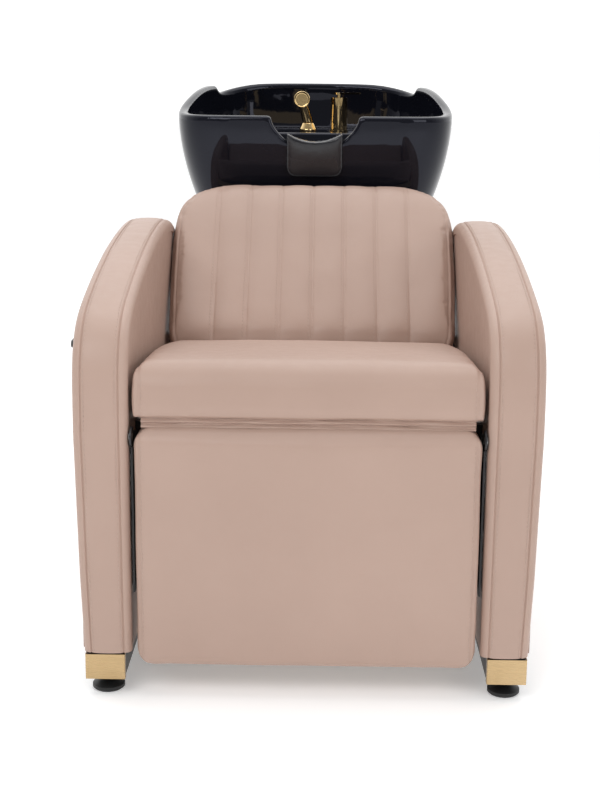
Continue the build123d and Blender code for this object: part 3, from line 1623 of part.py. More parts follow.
loop_points = under_bowl(
    [
        (-18.0, 395.0, 638.8),
        (-17.6, 385.0, 600.0),
        (-15.0, 366.0, 545.0),
        (-8.0, 361.0, 502.0),
        (14.0, 357.0, 480.0),
        (38.0, 361.0, 502.0),
        (47.0, 367.0, 548.0),
        (53.0, 385.0, 612.0),
        (56.0, 401.0, 690.0),
        (52.0, 403.0, 768.8),
    ]
)
hot_points = under_bowl(
    [
        (-36.0, 340.0, 176.6),
        (-40.0, 331.0, 280.0),
        (-34.0, 325.0, 390.0),
        (-10.0, 329.0, 500.0),
        (22.0, 349.0, 610.0),
        (38.0, 381.0, 700.0),
        (45.0, 390.0, 768.8),
    ]
)
cold_points = under_bowl(
    [
        (36.0, 340.0, 176.6),
        (44.0, 338.0, 280.0),
        (58.0, 337.0, 390.0),
        (72.0, 345.0, 500.0),
        (74.0, 365.0, 610.0),
        (66.0, 387.0, 700.0),
        (59.0, 391.0, 768.8),
    ]
)
finish(tube(loop_points, spray_hose_radius, 0, "spray_hose_loop"), "spray_hose_loop")
with BuildPart() as supply_hoses:
    add(tube(hot_points, spray_hose_radius, 0, "hot hose"))
    add(tube(cold_points, spray_hose_radius, 0, "cold hose"))
finish(supply_hoses.part, "supply_hoses")

# Waste: a hose from the drain's tail to a bottle trap with its outlet pipe
with BuildPart() as waste_hose:
    with BuildSketch(upright(0, drain_y, trap_top_z)):
        Circle(waste_radius)
        Circle(waste_radius - waste_wall, mode=Mode.SUBTRACT)
    extrude(amount=drain_tail_z - trap_top_z)
finish(waste_hose.part, "waste_hose")

trap_y = drain_y - (trap_radius - waste_radius)
outlet_points = [
    (-trap_radius / 2, trap_y, trap_outlet_z),
    (trap_outlet_x, trap_y, trap_outlet_z),
    (trap_outlet_x, trap_y, trap_outlet_bottom_z),
]
with BuildPart() as waste_trap:
    add(rod(upright(0, trap_y, trap_bottom_z), trap_radius, trap_top_z - trap_bottom_z))
    with BuildLine() as outlet_route:
        FilletPolyline(*outlet_points, radius=trap_outlet_radius * 2)
    with BuildSketch(Plane(origin=outlet_points[0], z_dir=(-1, 0, 0))):
        Circle(trap_outlet_radius)
    sweep(path=outlet_route.wire())
finish(waste_trap.part, "waste_trap")
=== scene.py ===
import json
import math

import bmesh
import bpy
import numpy as np
from mathutils import Matrix, Vector, noise
from mathutils.bvhtree import BVHTree


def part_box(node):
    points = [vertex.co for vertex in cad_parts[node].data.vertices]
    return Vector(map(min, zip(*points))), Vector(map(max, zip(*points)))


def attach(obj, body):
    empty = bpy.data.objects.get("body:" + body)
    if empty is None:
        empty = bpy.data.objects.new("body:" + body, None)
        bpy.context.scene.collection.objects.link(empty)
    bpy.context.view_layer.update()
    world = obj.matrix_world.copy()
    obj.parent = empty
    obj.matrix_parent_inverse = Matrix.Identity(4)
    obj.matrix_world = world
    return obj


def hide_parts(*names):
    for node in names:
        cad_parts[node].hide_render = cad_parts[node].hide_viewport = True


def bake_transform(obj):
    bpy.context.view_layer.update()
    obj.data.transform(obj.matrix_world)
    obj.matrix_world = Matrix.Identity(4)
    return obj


# Hair washing bed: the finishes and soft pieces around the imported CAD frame, in metres.
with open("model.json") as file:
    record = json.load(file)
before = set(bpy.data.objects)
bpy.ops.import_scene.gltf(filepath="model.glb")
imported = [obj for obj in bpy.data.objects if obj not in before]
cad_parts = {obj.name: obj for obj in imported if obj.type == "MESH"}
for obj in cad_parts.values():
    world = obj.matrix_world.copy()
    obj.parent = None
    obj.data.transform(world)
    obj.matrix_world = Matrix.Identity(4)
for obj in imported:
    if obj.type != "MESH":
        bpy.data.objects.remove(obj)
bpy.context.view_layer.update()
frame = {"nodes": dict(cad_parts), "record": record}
nodes = frame["nodes"]
scene = bpy.context.scene
MM = 0.001

# Places that the frame's pieces share
FRONT_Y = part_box("left_arm_band")[0].y
ARM_INNER_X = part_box("left_arm_band")[0].x
ARM_OUTER_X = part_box("left_arm_band")[1].x
ARM_BOTTOM_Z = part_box("left_arm_band")[0].z
ARM_CREST_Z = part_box("left_arm_band")[1].z
ARM_REAR_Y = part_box("left_arm_band")[1].y
SIDES = (("left", 1), ("right", -1))

# Camera at the photograph's place: a little above the bowl's rim, looking slightly down
CAMERA_DISTANCE = 2.0975
CAMERA_HEIGHT = 0.97
CAMERA_PITCH = math.radians(13.15)
CAMERA_ROLL = math.radians(0.49)
CAMERA_LENS = 65.04
CAMERA_SENSOR = 36.0
CAMERA_SIDE = 0.019
CAMERA_YAW = math.radians(0.856)
camera_data = bpy.data.cameras.new("camera")
camera_data.lens = CAMERA_LENS
camera_data.sensor_width = CAMERA_SENSOR
camera = bpy.data.objects.new("camera", camera_data)
scene.collection.objects.link(camera)
tilt = Matrix.Rotation(math.pi / 2 - CAMERA_PITCH, 4, "X")
roll = Matrix.Rotation(CAMERA_ROLL, 4, "Z")
yaw = Matrix.Rotation(CAMERA_YAW, 4, "Z")
stand = Matrix.Translation((CAMERA_SIDE, FRONT_Y - CAMERA_DISTANCE, CAMERA_HEIGHT))
camera.matrix_world = stand @ yaw @ tilt @ roll
scene.camera = camera

# Materials
NOISE_LOW = 0.3
NOISE_HIGH = 0.7
EVEN = (1, 1, 1)
BRUSHED = (0.03, 1.0, 1.0)


class Shader:
    """A material under construction: a principled shader and short ways to add nodes to it."""

    def __init__(self, name, color, roughness, metallic=0.0, **sockets):
        self.material = bpy.data.materials.new(name)
        self.material.use_nodes = True
        self.tree = self.material.node_tree
        self.shader = self.tree.nodes["Principled BSDF"]
        self.put("Base Color", (*color, 1.0))
        self.put("Roughness", roughness)
        self.put("Metallic", metallic)
        for socket, value in sockets.items():
            self.put(socket.replace("_", " "), value)
        self.coordinates = self.tree.nodes.new("ShaderNodeTexCoord")

    def put(self, socket, value):
        self.shader.inputs[socket].default_value = value

    def link(self, output, target):
        self.tree.links.new(output, target)

    def scaled(self, stretch):
        """Object coordinates, stretched along each axis."""
        mapping = self.tree.nodes.new("ShaderNodeMapping")
        mapping.inputs["Scale"].default_value = stretch
        self.link(self.coordinates.outputs["Object"], mapping.inputs["Vector"])
        return mapping.outputs["Vector"]

    def noise(self, scale, detail=3.0, stretch=EVEN):
        made = self.tree.nodes.new("ShaderNodeTexNoise")
        made.inputs["Scale"].default_value = scale
        made.inputs["Detail"].default_value = detail
        self.link(self.scaled(stretch), made.inputs["Vector"])
        return made.outputs["Fac"]

    def cells(self, scale):
        made = self.tree.nodes.new("ShaderNodeTexVoronoi")
        made.inputs["Scale"].default_value = scale
        self.link(self.scaled(EVEN), made.inputs["Vector"])
        return made.outputs["Distance"]

    def spread(self, source, low, high):
        """The source, a noise or cells that lie round a half, spread from low to high."""
        made = self.tree.nodes.new("ShaderNodeMapRange")
        made.inputs["From Min"].default_value = NOISE_LOW
        made.inputs["From Max"].default_value = NOISE_HIGH
        made.inputs["To Min"].default_value = low
        made.inputs["To Max"].default_value = high
        self.link(source, made.inputs["Value"])
        return made.outputs["Result"]

    def tint(self, source, dark, light):
        """Base colour between two tones, by the source."""
        made = self.tree.nodes.new("ShaderNodeMix")
        made.data_type = "RGBA"
        made.inputs["A"].default_value = (*dark, 1.0)
        made.inputs["B"].default_value = (*light, 1.0)
        self.link(self.spread(source, 0.0, 1.0), made.inputs["Factor"])
        self.link(made.outputs["Result"], self.shader.inputs["Base Color"])

    def rough(self, source, low, high):
        """Roughness from low to high, by the source."""
        self.link(self.spread(source, low, high), self.shader.inputs["Roughness"])

    def bump(self, source, height, below=None):
        """A bump of a height in metres, on top of another bump where there is one below."""
        made = self.tree.nodes.new("ShaderNodeBump")
        made.inputs["Distance"].default_value = height
        made.inputs["Strength"].default_value = 1.0
        self.link(source, made.inputs["Height"])
        if below is not None:
            self.link(below, made.inputs["Normal"])
        self.link(made.outputs["Normal"], self.shader.inputs["Normal"])
        return made.outputs["Normal"]


def leather_material(name, dark, light):
    """Fine cells as the grain over slow creases, with a soft sheen."""
    made = Shader(name, light, roughness=0.42, Specular_IOR_Level=0.42)
    made.tint(made.noise(scale=4.0), dark, light)
    made.rough(made.noise(scale=60.0), low=0.38, high=0.48)
    grain = made.bump(made.cells(scale=900.0), height=0.10 * MM)
    made.bump(made.noise(scale=26.0), height=0.6 * MM, below=grain)
    return made.material


def metal_material(name, dark, light, low, high, stretch, height):
    """A metal with fine lines, which a stretch draws out as brushing."""
    made = Shader(name, light, low, metallic=1.0)
    made.tint(made.noise(scale=9.0), dark, light)
    lines = made.noise(scale=420.0, detail=2.0, stretch=stretch)
    made.rough(lines, low, high)
    made.bump(lines, height)
    return made.material


def plastic_material(name, dark, light, low, high, grain, height):
    """Plastic, rubber, thread or powder coating, with a grain of its own fineness."""
    made = Shader(name, light, low)
    made.tint(made.noise(scale=7.0), dark, light)
    made.rough(made.noise(scale=35.0), low, high)
    made.bump(made.noise(grain), height)
    return made.material


def wood_material(name, dark, light):
    """Wood with veins that run along Y."""
    made = Shader(name, light, roughness=0.5)
    veins = made.noise(scale=30.0, detail=6.0, stretch=(1.0, 0.12, 1.0))
    made.tint(veins, dark, light)
    made.rough(veins, low=0.45, high=0.6)
    made.bump(veins, height=0.2 * MM)
    return made.material


def glaze_material(name, dark, light):
    """Black glaze, nearly a mirror, with a slow wave in its surface."""
    made = Shader(name, light, roughness=0.03, Specular_IOR_Level=0.3)
    made.put("Specular Tint", (0.82, 0.84, 1.0, 1.0))
    made.tint(made.noise(scale=5.0), dark, light)
    made.rough(made.noise(scale=14.0), low=0.03, high=0.05)
    made.bump(made.noise(scale=9.0), height=0.12 * MM)
    return made.material


# Each plastic: dark and light tone, lowest and highest roughness, grain, height of the grain
PLASTICS = {
    "thread": ((0.42, 0.30, 0.245), (0.48, 0.35, 0.29), 0.5, 0.6, 900.0, 0.05 * MM),
    "black_steel": ((0.010, 0.010, 0.011), (0.016, 0.016, 0.017), 0.35, 0.45, 700.0, 0.03 * MM),
    "black_rubber": ((0.008, 0.008, 0.008), (0.015, 0.015, 0.015), 0.45, 0.6, 500.0, 0.04 * MM),
    "gel": ((0.010, 0.010, 0.013), (0.015, 0.015, 0.019), 0.16, 0.24, 40.0, 0.4 * MM),
    "black_plastic": ((0.010, 0.010, 0.010), (0.018, 0.018, 0.018), 0.32, 0.42, 600.0, 0.03 * MM),
}
# Each metal: dark and light tone, lowest and highest roughness, stretch and height of its lines
METALS = {
    "zinc_steel": ((0.55, 0.55, 0.56), (0.66, 0.66, 0.66), 0.28, 0.40, EVEN, 0.01 * MM),
    "chromed_steel": ((0.70, 0.70, 0.71), (0.80, 0.80, 0.81), 0.06, 0.10, EVEN, 0.01 * MM),
    "gold": ((0.44, 0.31, 0.16), (0.56, 0.41, 0.23), 0.20, 0.34, BRUSHED, 0.02 * MM),
    "polished_gold": ((0.80, 0.58, 0.28), (0.88, 0.66, 0.34), 0.05, 0.09, EVEN, 0.01 * MM),
    "brass": ((0.60, 0.43, 0.18), (0.70, 0.52, 0.24), 0.22, 0.32, EVEN, 0.01 * MM),
}
# Leather, wood and glaze: dark and light tone
LEATHERS = {"leatherette": ((0.43, 0.30, 0.245), (0.465, 0.328, 0.27))}
WOODS = {
    "beech": ((0.42, 0.26, 0.13), (0.58, 0.40, 0.22)),
    "plywood": ((0.48, 0.33, 0.18), (0.60, 0.44, 0.27)),
}
GLAZES = {"black_glaze": ((0.0045, 0.005, 0.008), (0.006, 0.0065, 0.0105))}
MATERIALS = {}
for make, finishes in (
    (leather_material, LEATHERS),
    (plastic_material, PLASTICS),
    (metal_material, METALS),
    (wood_material, WOODS),
    (glaze_material, GLAZES),
):
    for name, values in finishes.items():
        MATERIALS[name] = make(name, *values)
LEATHER = MATERIALS["leatherette"]
THREAD = MATERIALS["thread"]


def dress(obj, material):
    obj.data.materials.clear()
    obj.data.materials.append(material)


def smooth_shading(obj):
    for polygon in obj.data.polygons:
        polygon.use_smooth = True


SHARP_TURN = math.radians(32)
slots = {entry["node"]: entry["material_slot"] for entry in frame["record"]["subparts"]}
for node_name, node in nodes.items():
    dress(node, MATERIALS[slots[node_name]])
    smooth_shading(node)
    node.data.set_sharp_from_angle(angle=SHARP_TURN)


# Mesh work that several pieces share
WELD_DISTANCE = 0.01 * MM
PUFF_FRAMES = 20
PUFF_MASS = 0.3
PUFF_PRESSURE = 4.0
PUFF_QUALITY = 4
FACING_GAIN = 2.0
DENT_FACING_START = 0.4
CAST_REACH = 200 * MM
NO_LENGTH = 1e-9


def new_object(name, mesh):
    made = bpy.data.objects.new(name, mesh)
    scene.collection.objects.link(made)
    return made


def copied(node, name):
    """A free copy of a CAD node."""
    return new_object(name, nodes[node].data.copy())


def bake(obj):
    """Apply an object's modifiers to its mesh."""
    bpy.context.view_layer.update()
    graph = bpy.context.evaluated_depsgraph_get()
    mesh = bpy.data.meshes.new_from_object(obj.evaluated_get(graph))
    obj.modifiers.clear()
    obj.data = mesh
    return obj


def weld(obj):
    """Join the vertices that the import has split."""
    work = bmesh.new()
    work.from_mesh(obj.data)
    bmesh.ops.remove_doubles(work, verts=work.verts, dist=WELD_DISTANCE)
    work.to_mesh(obj.data)
    work.free()


def remesh(obj, voxel):
    """Rebuild a solid's skin as an even net of small faces."""
    weld(obj)
    modifier = obj.modifiers.new("voxels", "REMESH")
    modifier.mode = "VOXEL"
    modifier.voxel_size = voxel
    return bake(obj)


def relax(obj, rounds):
    """Round a skin off."""
    modifier = obj.modifiers.new("relax", "SMOOTH")
    modifier.iterations = rounds
    modifier.factor = 0.5
    return bake(obj)


def subdivide(obj):
    modifier = obj.modifiers.new("finer", "SUBSURF")
    modifier.levels = 1
    modifier.render_levels = 1
    return bake(obj)


def places(obj):
    """The mesh's points, one row each."""
    found = np.empty(len(obj.data.vertices) * 3)
    obj.data.vertices.foreach_get("co", found)
    return found.reshape(-1, 3)


def set_places(obj, values):
    obj.data.vertices.foreach_set("co", np.asarray(values).ravel())
    obj.data.update()


def normals(obj):
    found = np.empty(len(obj.data.vertices) * 3)
    obj.data.vertices.foreach_get("normal", found)
    return found.reshape(-1, 3)


def facing_share(toward, start):
    """From 0 to 1, how far a skin faces a way; toward is the part of each normal that points that way."""
    return np.clip(toward * FACING_GAIN - start, 0.0, 1.0)


def puff(obj, cap, hold):
    """Inflate a closed pad as cloth, with each point's motion kept under cap.

    hold turns the skin's normals into the share of the motion that is held back.
    """
    before = places(obj)
    kept = hold(normals(obj))[:, None]
    modifier = obj.modifiers.new("puff", "CLOTH")
    settings = modifier.settings
    settings.quality = PUFF_QUALITY
    settings.mass = PUFF_MASS
    settings.use_pressure = True
    settings.uniform_pressure_force = PUFF_PRESSURE
    settings.effector_weights.gravity = 0.0
    modifier.point_cache.frame_start = 1
    modifier.point_cache.frame_end = PUFF_FRAMES
    for step in range(1, PUFF_FRAMES + 1):
        scene.frame_set(step)
    graph = bpy.context.evaluated_depsgraph_get()
    swollen = obj.evaluated_get(graph).to_mesh()
    after = np.empty(len(swollen.vertices) * 3)
    swollen.vertices.foreach_get("co", after)
    obj.modifiers.clear()
    scene.frame_set(1)
    motion = after.reshape(-1, 3) - before
    length = np.linalg.norm(motion, axis=1, keepdims=True)
    motion *= np.minimum(1.0, cap / np.maximum(length, NO_LENGTH)) * (1.0 - kept)
    set_places(obj, before + motion)
    return obj


def wrinkle(obj, height, size, seed):
    """Slow swells in a skin, along its normals."""
    at = places(obj)
    shift = [noise.noise(Vector(p) / size + Vector((seed, seed, seed))) for p in at]
    set_places(obj, at + normals(obj) * (np.array(shift) * height)[:, None])


def dent(obj, distance, depth, width, facing):
    """Press a seam into a skin; distance gives each point's distance from the seam.

    facing keeps the seam to the side of the skin that faces it.
    """
    at = places(obj)
    out = normals(obj)
    push = depth * np.exp(-((distance(at) / width) ** 2))
    push *= facing_share(facing(out), DENT_FACING_START)
    set_places(obj, at - out * push[:, None])


def skin_tree(obj):
    """A finder of where rays meet a skin."""
    bpy.context.view_layer.update()
    return BVHTree.FromObject(obj, bpy.context.evaluated_depsgraph_get())


STITCH_PITCH = 7.5 * MM
STITCH_LENGTH = 5.2 * MM
STITCH_RADIUS = 0.55 * MM
STITCH_ARCH = 0.25
STITCH_SIDES = 6
# Along a stitch, from end to end: the place as a share of its half length, and its thickness
STITCH_PROFILE = ((-1.0, 0.25), (-0.8, 0.85), (0.0, 1.0), (0.8, 0.85), (1.0, 0.25))


def stitch_row(name, path, outward, body):
    """A row of stitches along a path on a skin; outward gives the skin's normal at each point."""
    path = [Vector(p) for p in path]
    outward = [Vector(n).normalized() for n in outward]
    ends = [0.0]
    for a, b in zip(path[:-1], path[1:]):
        ends.append(ends[-1] + (b - a).length)
    work = bmesh.new()
    count = int(ends[-1] / STITCH_PITCH)
    index = 0
    for k in range(count):
        middle = (k + 0.5) * STITCH_PITCH
        while index < len(ends) - 2 and ends[index + 1] < middle:
            index += 1
        share = (middle - ends[index]) / max(ends[index + 1] - ends[index], NO_LENGTH)
        centre = path[index].lerp(path[index + 1], share)
        along = (path[index + 1] - path[index]).normalized()
        up = outward[index].lerp(outward[index + 1], share).normalized()
        across = along.cross(up).normalized()
        rings = []
        for reach, width in STITCH_PROFILE:
            lift = STITCH_RADIUS * STITCH_ARCH * (1.0 - reach * reach)
            ring_centre = centre + along * (reach * STITCH_LENGTH / 2) + up * lift
            ring = []
            for side in range(STITCH_SIDES):
                angle = side * math.tau / STITCH_SIDES
                offset = across * math.cos(angle) + up * math.sin(angle)
                ring.append(work.verts.new(ring_centre + offset * (STITCH_RADIUS * width)))
            rings.append(ring)
        for first, second in zip(rings[:-1], rings[1:]):
            for side in range(STITCH_SIDES):
                following = (side + 1) % STITCH_SIDES
                work.faces.new((first[side], first[following], second[following], second[side]))
        work.faces.new(rings[0][::-1])
        work.faces.new(rings[-1])
    bmesh.ops.recalc_face_normals(work, faces=work.faces)
    mesh = bpy.data.meshes.new(name)
    work.to_mesh(mesh)
    work.free()
    made = new_object(name, mesh)
    dress(made, THREAD)
    smooth_shading(made)
    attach(made, body)
    return made


def cast(tree, starts, direction):
    """Where rays from the starts meet a skin: the points, and the normals there."""
    points, outward = [], []
    for start in starts:
        hit, normal, _, _ = tree.ray_cast(Vector(start), Vector(direction), CAST_REACH)
        if hit is not None:
            points.append(hit)
            outward.append(normal)
    return points, outward


# Arm bands: a padded strip swept along the arm's outline
ARM_FRONT_RADIUS = 110 * MM
ARM_SHOULDER_Z = 500 * MM
ARM_CREST_BACK = 640 * MM
ARM_REAR_RADIUS = 70 * MM
ARM_REAR_SHOULDER_Z = 560 * MM
BAND_DEPTH = 22 * MM
BAND_ROUND = 13 * MM
BAND_WIDTH = ARM_OUTER_X - ARM_INNER_X - BAND_ROUND * 2
BAND_CROWN = 3.0 * MM
BAND_SEAM_DIP = 1.7 * MM
BAND_SEAM_WIDTH = 1.5 * MM
BAND_STITCH_INSET = 4.5 * MM
BAND_CROWN_POWER = 2.6
BAND_SINK = 0.4 * MM
BAND_ROUND_STEPS = 12
BAND_UNDER_SHARE = 0.8
BAND_EASE_ROUNDS = 60
BAND_SHARP_TURN = math.radians(50)
# Distances from a seam, in millimetres, at which the band's section has a point
BAND_REACHES = (0.0, 0.5, 1.0, 1.6, 2.4, 3.4, 5.0, 7.5, 11.0, 15.0, 20.0)
BAND_SWELL = 0.5
BAND_SWELL_ACROSS = 14
BAND_SWELL_ALONG = 0.11
BAND_SWELL_SEED = 3.7
ARM_SPREAD_HEIGHTS = (0.072, 0.2, 0.3, 0.42, 0.68)
ARM_SPREADS = (-5 * MM, 0.0, 2 * MM, 4.5 * MM, 3.5 * MM)
CREST_Y = FRONT_Y + ARM_CREST_BACK
STRAIGHT_STEPS = 60
FRONT_TIGHT_STEPS = 30
FRONT_WIDE_STEPS = 70
REAR_STEPS = 24


def arm_path():
    """Points of the arm's outline, from its front foot over its crest to its rear foot.

    Each point has its y and z, and the way out of the arm there.
    """
    found = []

    def straight(start, end, way, count):
        for k in range(count):
            share = k / count
            found.append((*(np.array(start) * (1 - share) + np.array(end) * share), *way))

    def arc(centre, radius, first, last, count):
        for k in range(count):
            angle = math.radians(first + (last - first) * k / count)
            way = (math.cos(angle), math.sin(angle))
            found.append((centre[0] + radius * way[0], centre[1] + radius * way[1], *way))

    def quarter(end_y, shoulder_z, tight, sign):
        """A tight and a wide arc that meet smoothly between an upright and the crest."""
        run = abs(CREST_Y - end_y)
        rise = ARM_CREST_Z - shoulder_z
        wide = ((run - tight) ** 2 + rise**2 - tight**2) / (2 * (rise - tight))
        tight_centre = (end_y + sign * tight, shoulder_z)
        wide_centre = (CREST_Y, ARM_CREST_Z - wide)
        apart_y = tight_centre[0] - wide_centre[0]
        apart_z = tight_centre[1] - wide_centre[1]
        turn = math.degrees(math.atan2(apart_z, apart_y))
        return tight_centre, wide_centre, wide, turn

    straight((FRONT_Y, ARM_BOTTOM_Z), (FRONT_Y, ARM_SHOULDER_Z), (-1, 0), STRAIGHT_STEPS)
    tight_centre, wide_centre, wide, turn = quarter(FRONT_Y, ARM_SHOULDER_Z, ARM_FRONT_RADIUS, 1)
    arc(tight_centre, ARM_FRONT_RADIUS, 180, turn, FRONT_TIGHT_STEPS)
    arc(wide_centre, wide, turn, 90, FRONT_WIDE_STEPS)
    tight_centre, wide_centre, wide, turn = quarter(ARM_REAR_Y, ARM_REAR_SHOULDER_Z, ARM_REAR_RADIUS, -1)
    arc(wide_centre, wide, 90, turn, REAR_STEPS)
    arc(tight_centre, ARM_REAR_RADIUS, turn, 0, REAR_STEPS)
    straight((ARM_REAR_Y, ARM_REAR_SHOULDER_Z), (ARM_REAR_Y, ARM_BOTTOM_Z), (1, 0), STRAIGHT_STEPS)
    found.append((ARM_REAR_Y, ARM_BOTTOM_Z, 1, 0))
    return found


def band_heights(share):
    """The band's height over the outline across its width, with a groove at both seams."""
    crown = BAND_CROWN * (1 - abs(share * 2 - 1) ** BAND_CROWN_POWER)
    edge = min(share, 1 - share) * BAND_WIDTH
    return crown - BAND_SEAM_DIP * math.exp(-((edge / BAND_SEAM_WIDTH) ** 2))


def band_section():
    """The band's cross-section, from its inner underside round to the outer one.

    Each point has its x and its height over the arm's outline.
    """
    side_points = [(ARM_INNER_X, -BAND_DEPTH), (ARM_INNER_X, -BAND_DEPTH * BAND_UNDER_SHARE)]
    for k in range(BAND_ROUND_STEPS):
        angle = math.pi - k * math.pi / 2 / BAND_ROUND_STEPS
        x = ARM_INNER_X + BAND_ROUND * (1 + math.cos(angle))
        side_points.append((x, -BAND_ROUND * (1 - math.sin(angle))))
    top_points = []
    near = [reach * MM / BAND_WIDTH for reach in BAND_REACHES]
    for share in near + [0.5] + [1 - reach for reach in near[::-1]]:
        x = ARM_INNER_X + BAND_ROUND + BAND_WIDTH * share
        top_points.append((x, band_heights(share)))
    mirrored = [(ARM_INNER_X + ARM_OUTER_X - x, height) for x, height in side_points]
    return side_points + top_points + mirrored[::-1]


def outer_spread(z):
    """How far the arm's outer side stands out at a height: drawn in at the foot, fuller above."""
    return np.interp(z, ARM_SPREAD_HEIGHTS, ARM_SPREADS)


def eased(path):
    """The outline with its changes of curvature spread out, and with its ways out worked out again."""
    at = np.array([(y, z) for y, z, _, _ in path])
    for _ in range(BAND_EASE_ROUNDS):
        at[1:-1] += 0.5 * ((at[:-2] + at[2:]) / 2 - at[1:-1])
    along = np.gradient(at, axis=0)
    along /= np.linalg.norm(along, axis=1, keepdims=True)
    return [(y, z, -along_z, along_y) for (y, z), (along_y, along_z) in zip(at, along)]


def outer_share(x):
    """From 0 at the arm's inner side to 1 at its outer side."""
    return (x - ARM_INNER_X) / (ARM_OUTER_X - ARM_INNER_X)


outline = eased(arm_path())
ways_out = [(0, out_y, out_z) for _, _, out_y, out_z in outline]
section = band_section()
around = len(section)
for side, sign in SIDES:
    work = bmesh.new()
    rings = []
    for step, (y, z, out_y, out_z) in enumerate(outline):
        ring = []
        for x, height in section:
            swell = 0.0
            if height > -BAND_ROUND:
                at = (x * BAND_SWELL_ACROSS, step * BAND_SWELL_ALONG, sign * BAND_SWELL_SEED)
                swell = noise.noise(Vector(at)) * BAND_SWELL * MM
            lift = height + swell - BAND_SINK
            wide = x + outer_spread(z) * outer_share(x)
            ring.append(work.verts.new((sign * wide, y + out_y * lift, z + out_z * lift)))
        rings.append(ring)
    for first, second in zip(rings[:-1], rings[1:]):
        for k in range(around):
            following = (k + 1) % around
            work.faces.new((first[k], first[following], second[following], second[k]))
    work.faces.new(rings[0])
    work.faces.new(rings[-1])
    bmesh.ops.recalc_face_normals(work, faces=work.faces)
    mesh = bpy.data.meshes.new(f"{side}_arm_band_padding")
    work.to_mesh(mesh)
    work.free()
    band = new_object(f"{side}_arm_band_padding", mesh)
    dress(band, LEATHER)
    smooth_shading(band)
    band.data.set_sharp_from_angle(angle=BAND_SHARP_TURN)
    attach(band, "chair_frame")
    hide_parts(f"{side}_arm_band")
    for edge, x in (
        ("inner", ARM_INNER_X + BAND_ROUND + BAND_STITCH_INSET),
        ("outer", ARM_OUTER_X - BAND_ROUND - BAND_STITCH_INSET),
    ):
        lift = band_heights((x - ARM_INNER_X - BAND_ROUND) / BAND_WIDTH) - BAND_SINK
        path = []
        for y, z, out_y, out_z in outline:
            wide = x + outer_spread(z) * outer_share(x)
            path.append((sign * wide, y + out_y * lift, z + out_z * lift))
        stitch_row(f"{side}_arm_{edge}_stitches", path, ways_out, "chair_frame")


# Seat cushion
SEAT_LOW, SEAT_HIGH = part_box("seat_cushion")
SEAT_VOXEL = 5 * MM
SEAT_RELAX_ROUNDS = 4
SEAT_PUFF = 3 * MM
SEAT_UNDERSIDE_START = 0.6
SEAT_WRINKLE = 1.2 * MM
SEAT_WRINKLE_SIZE = 90 * MM
SEAT_WRINKLE_SEED = 2.3
SEAT_SEAM_INSET = 10 * MM
SEAT_SEAM_DEPTH = 1.6 * MM
SEAT_SEAM_WIDTH = 2.6 * MM
SEAT_STITCH_GAP = 6 * MM
SEAT_STITCH_FOOT = 52 * MM
SEAT_STITCH_HEAD = 20 * MM
SEAT_STITCH_RAYS = 30
SEAT_FRONT_TURN = -0.6
FRONT_RAY_START = 50 * MM


def seat_underside(out):
    return facing_share(-out[:, 2], SEAT_UNDERSIDE_START)


def seat_front_and_top(out):
    return np.abs(out[:, 2]) + np.abs(out[:, 1])


seat = remesh(copied("seat_cushion", "seat_padding"), SEAT_VOXEL)
relax(seat, SEAT_RELAX_ROUNDS)
puff(seat, SEAT_PUFF, seat_underside)
subdivide(seat)
wrinkle(seat, SEAT_WRINKLE, SEAT_WRINKLE_SIZE, SEAT_WRINKLE_SEED)
for sign in (1, -1):
    seam_x = sign * (SEAT_HIGH.x - SEAT_SEAM_INSET)
    dent(seat, lambda at: at[:, 0] - seam_x, SEAT_SEAM_DEPTH, SEAT_SEAM_WIDTH, seat_front_and_top)
smooth_shading(seat)
dress(seat, LEATHER)
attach(seat, "chair_frame")
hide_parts("seat_cushion")
seat_tree = skin_tree(seat)
for side, sign in SIDES:
    stitch_x = sign * (SEAT_HIGH.x - SEAT_SEAM_INSET - SEAT_STITCH_GAP)
    foot = SEAT_LOW.z + SEAT_STITCH_FOOT
    head = SEAT_HIGH.z - SEAT_STITCH_HEAD
    rises = np.linspace(foot, head, SEAT_STITCH_RAYS)
    starts = [(stitch_x, SEAT_LOW.y - FRONT_RAY_START, z) for z in rises]
    path = []
    outward = []
    for point, normal in zip(*cast(seat_tree, starts, (0, 1, 0))):
        if normal.y < SEAT_FRONT_TURN:
            path.append(point)
            outward.append(normal)
    stitch_row(f"seat_{side}_stitches", path, outward, "chair_frame")


# Backrest cushion with sewn channels
BACK_VOXEL = 4 * MM
BACK_RELAX_ROUNDS = 5
BACK_PUFF = 3 * MM
BACK_REAR_START = 0.2
BACK_WRINKLE = 1.0 * MM
BACK_WRINKLE_SIZE = 70 * MM
BACK_WRINKLE_SEED = 5.1
BACK_LEAN = math.radians(43)
BACK_SEAMS = 7
BACK_SEAM_PITCH = 61 * MM
BACK_SEAM_DEPTH = 1.5 * MM
BACK_SEAM_WIDTH = 1.9 * MM
BACK_PIPING_INSET = 8 * MM
BACK_PIPING_DEPTH = 1.3 * MM
BACK_PIPING_WIDTH = 1.8 * MM
BACK_STITCH_GAP = 6.5 * MM
BACK_STITCH_FOOT = 12 * MM
BACK_STITCH_HEAD = 372 * MM
BACK_STITCH_RAYS = 60
BACK_RAY_START = 60 * MM
BACK_WIDTH_SHARES = (0.0, 0.05, 0.3, 0.6, 0.77, 0.88, 0.96, 1.0)
BACK_HALF_WIDTHS = (0.2564, 0.2617, 0.2652, 0.2665, 0.2625, 0.2412, 0.1985, 0.1466)
BACK_HEIGHT = 388 * MM
BACK_FOOT = Vector((0, FRONT_Y + 520 * MM, 468 * MM))
back_up = Vector((0, math.sin(BACK_LEAN), math.cos(BACK_LEAN)))
back_front = Vector((0, -math.cos(BACK_LEAN), math.sin(BACK_LEAN)))
seam_xs = [(k - (BACK_SEAMS - 1) / 2) * BACK_SEAM_PITCH for k in range(BACK_SEAMS)]


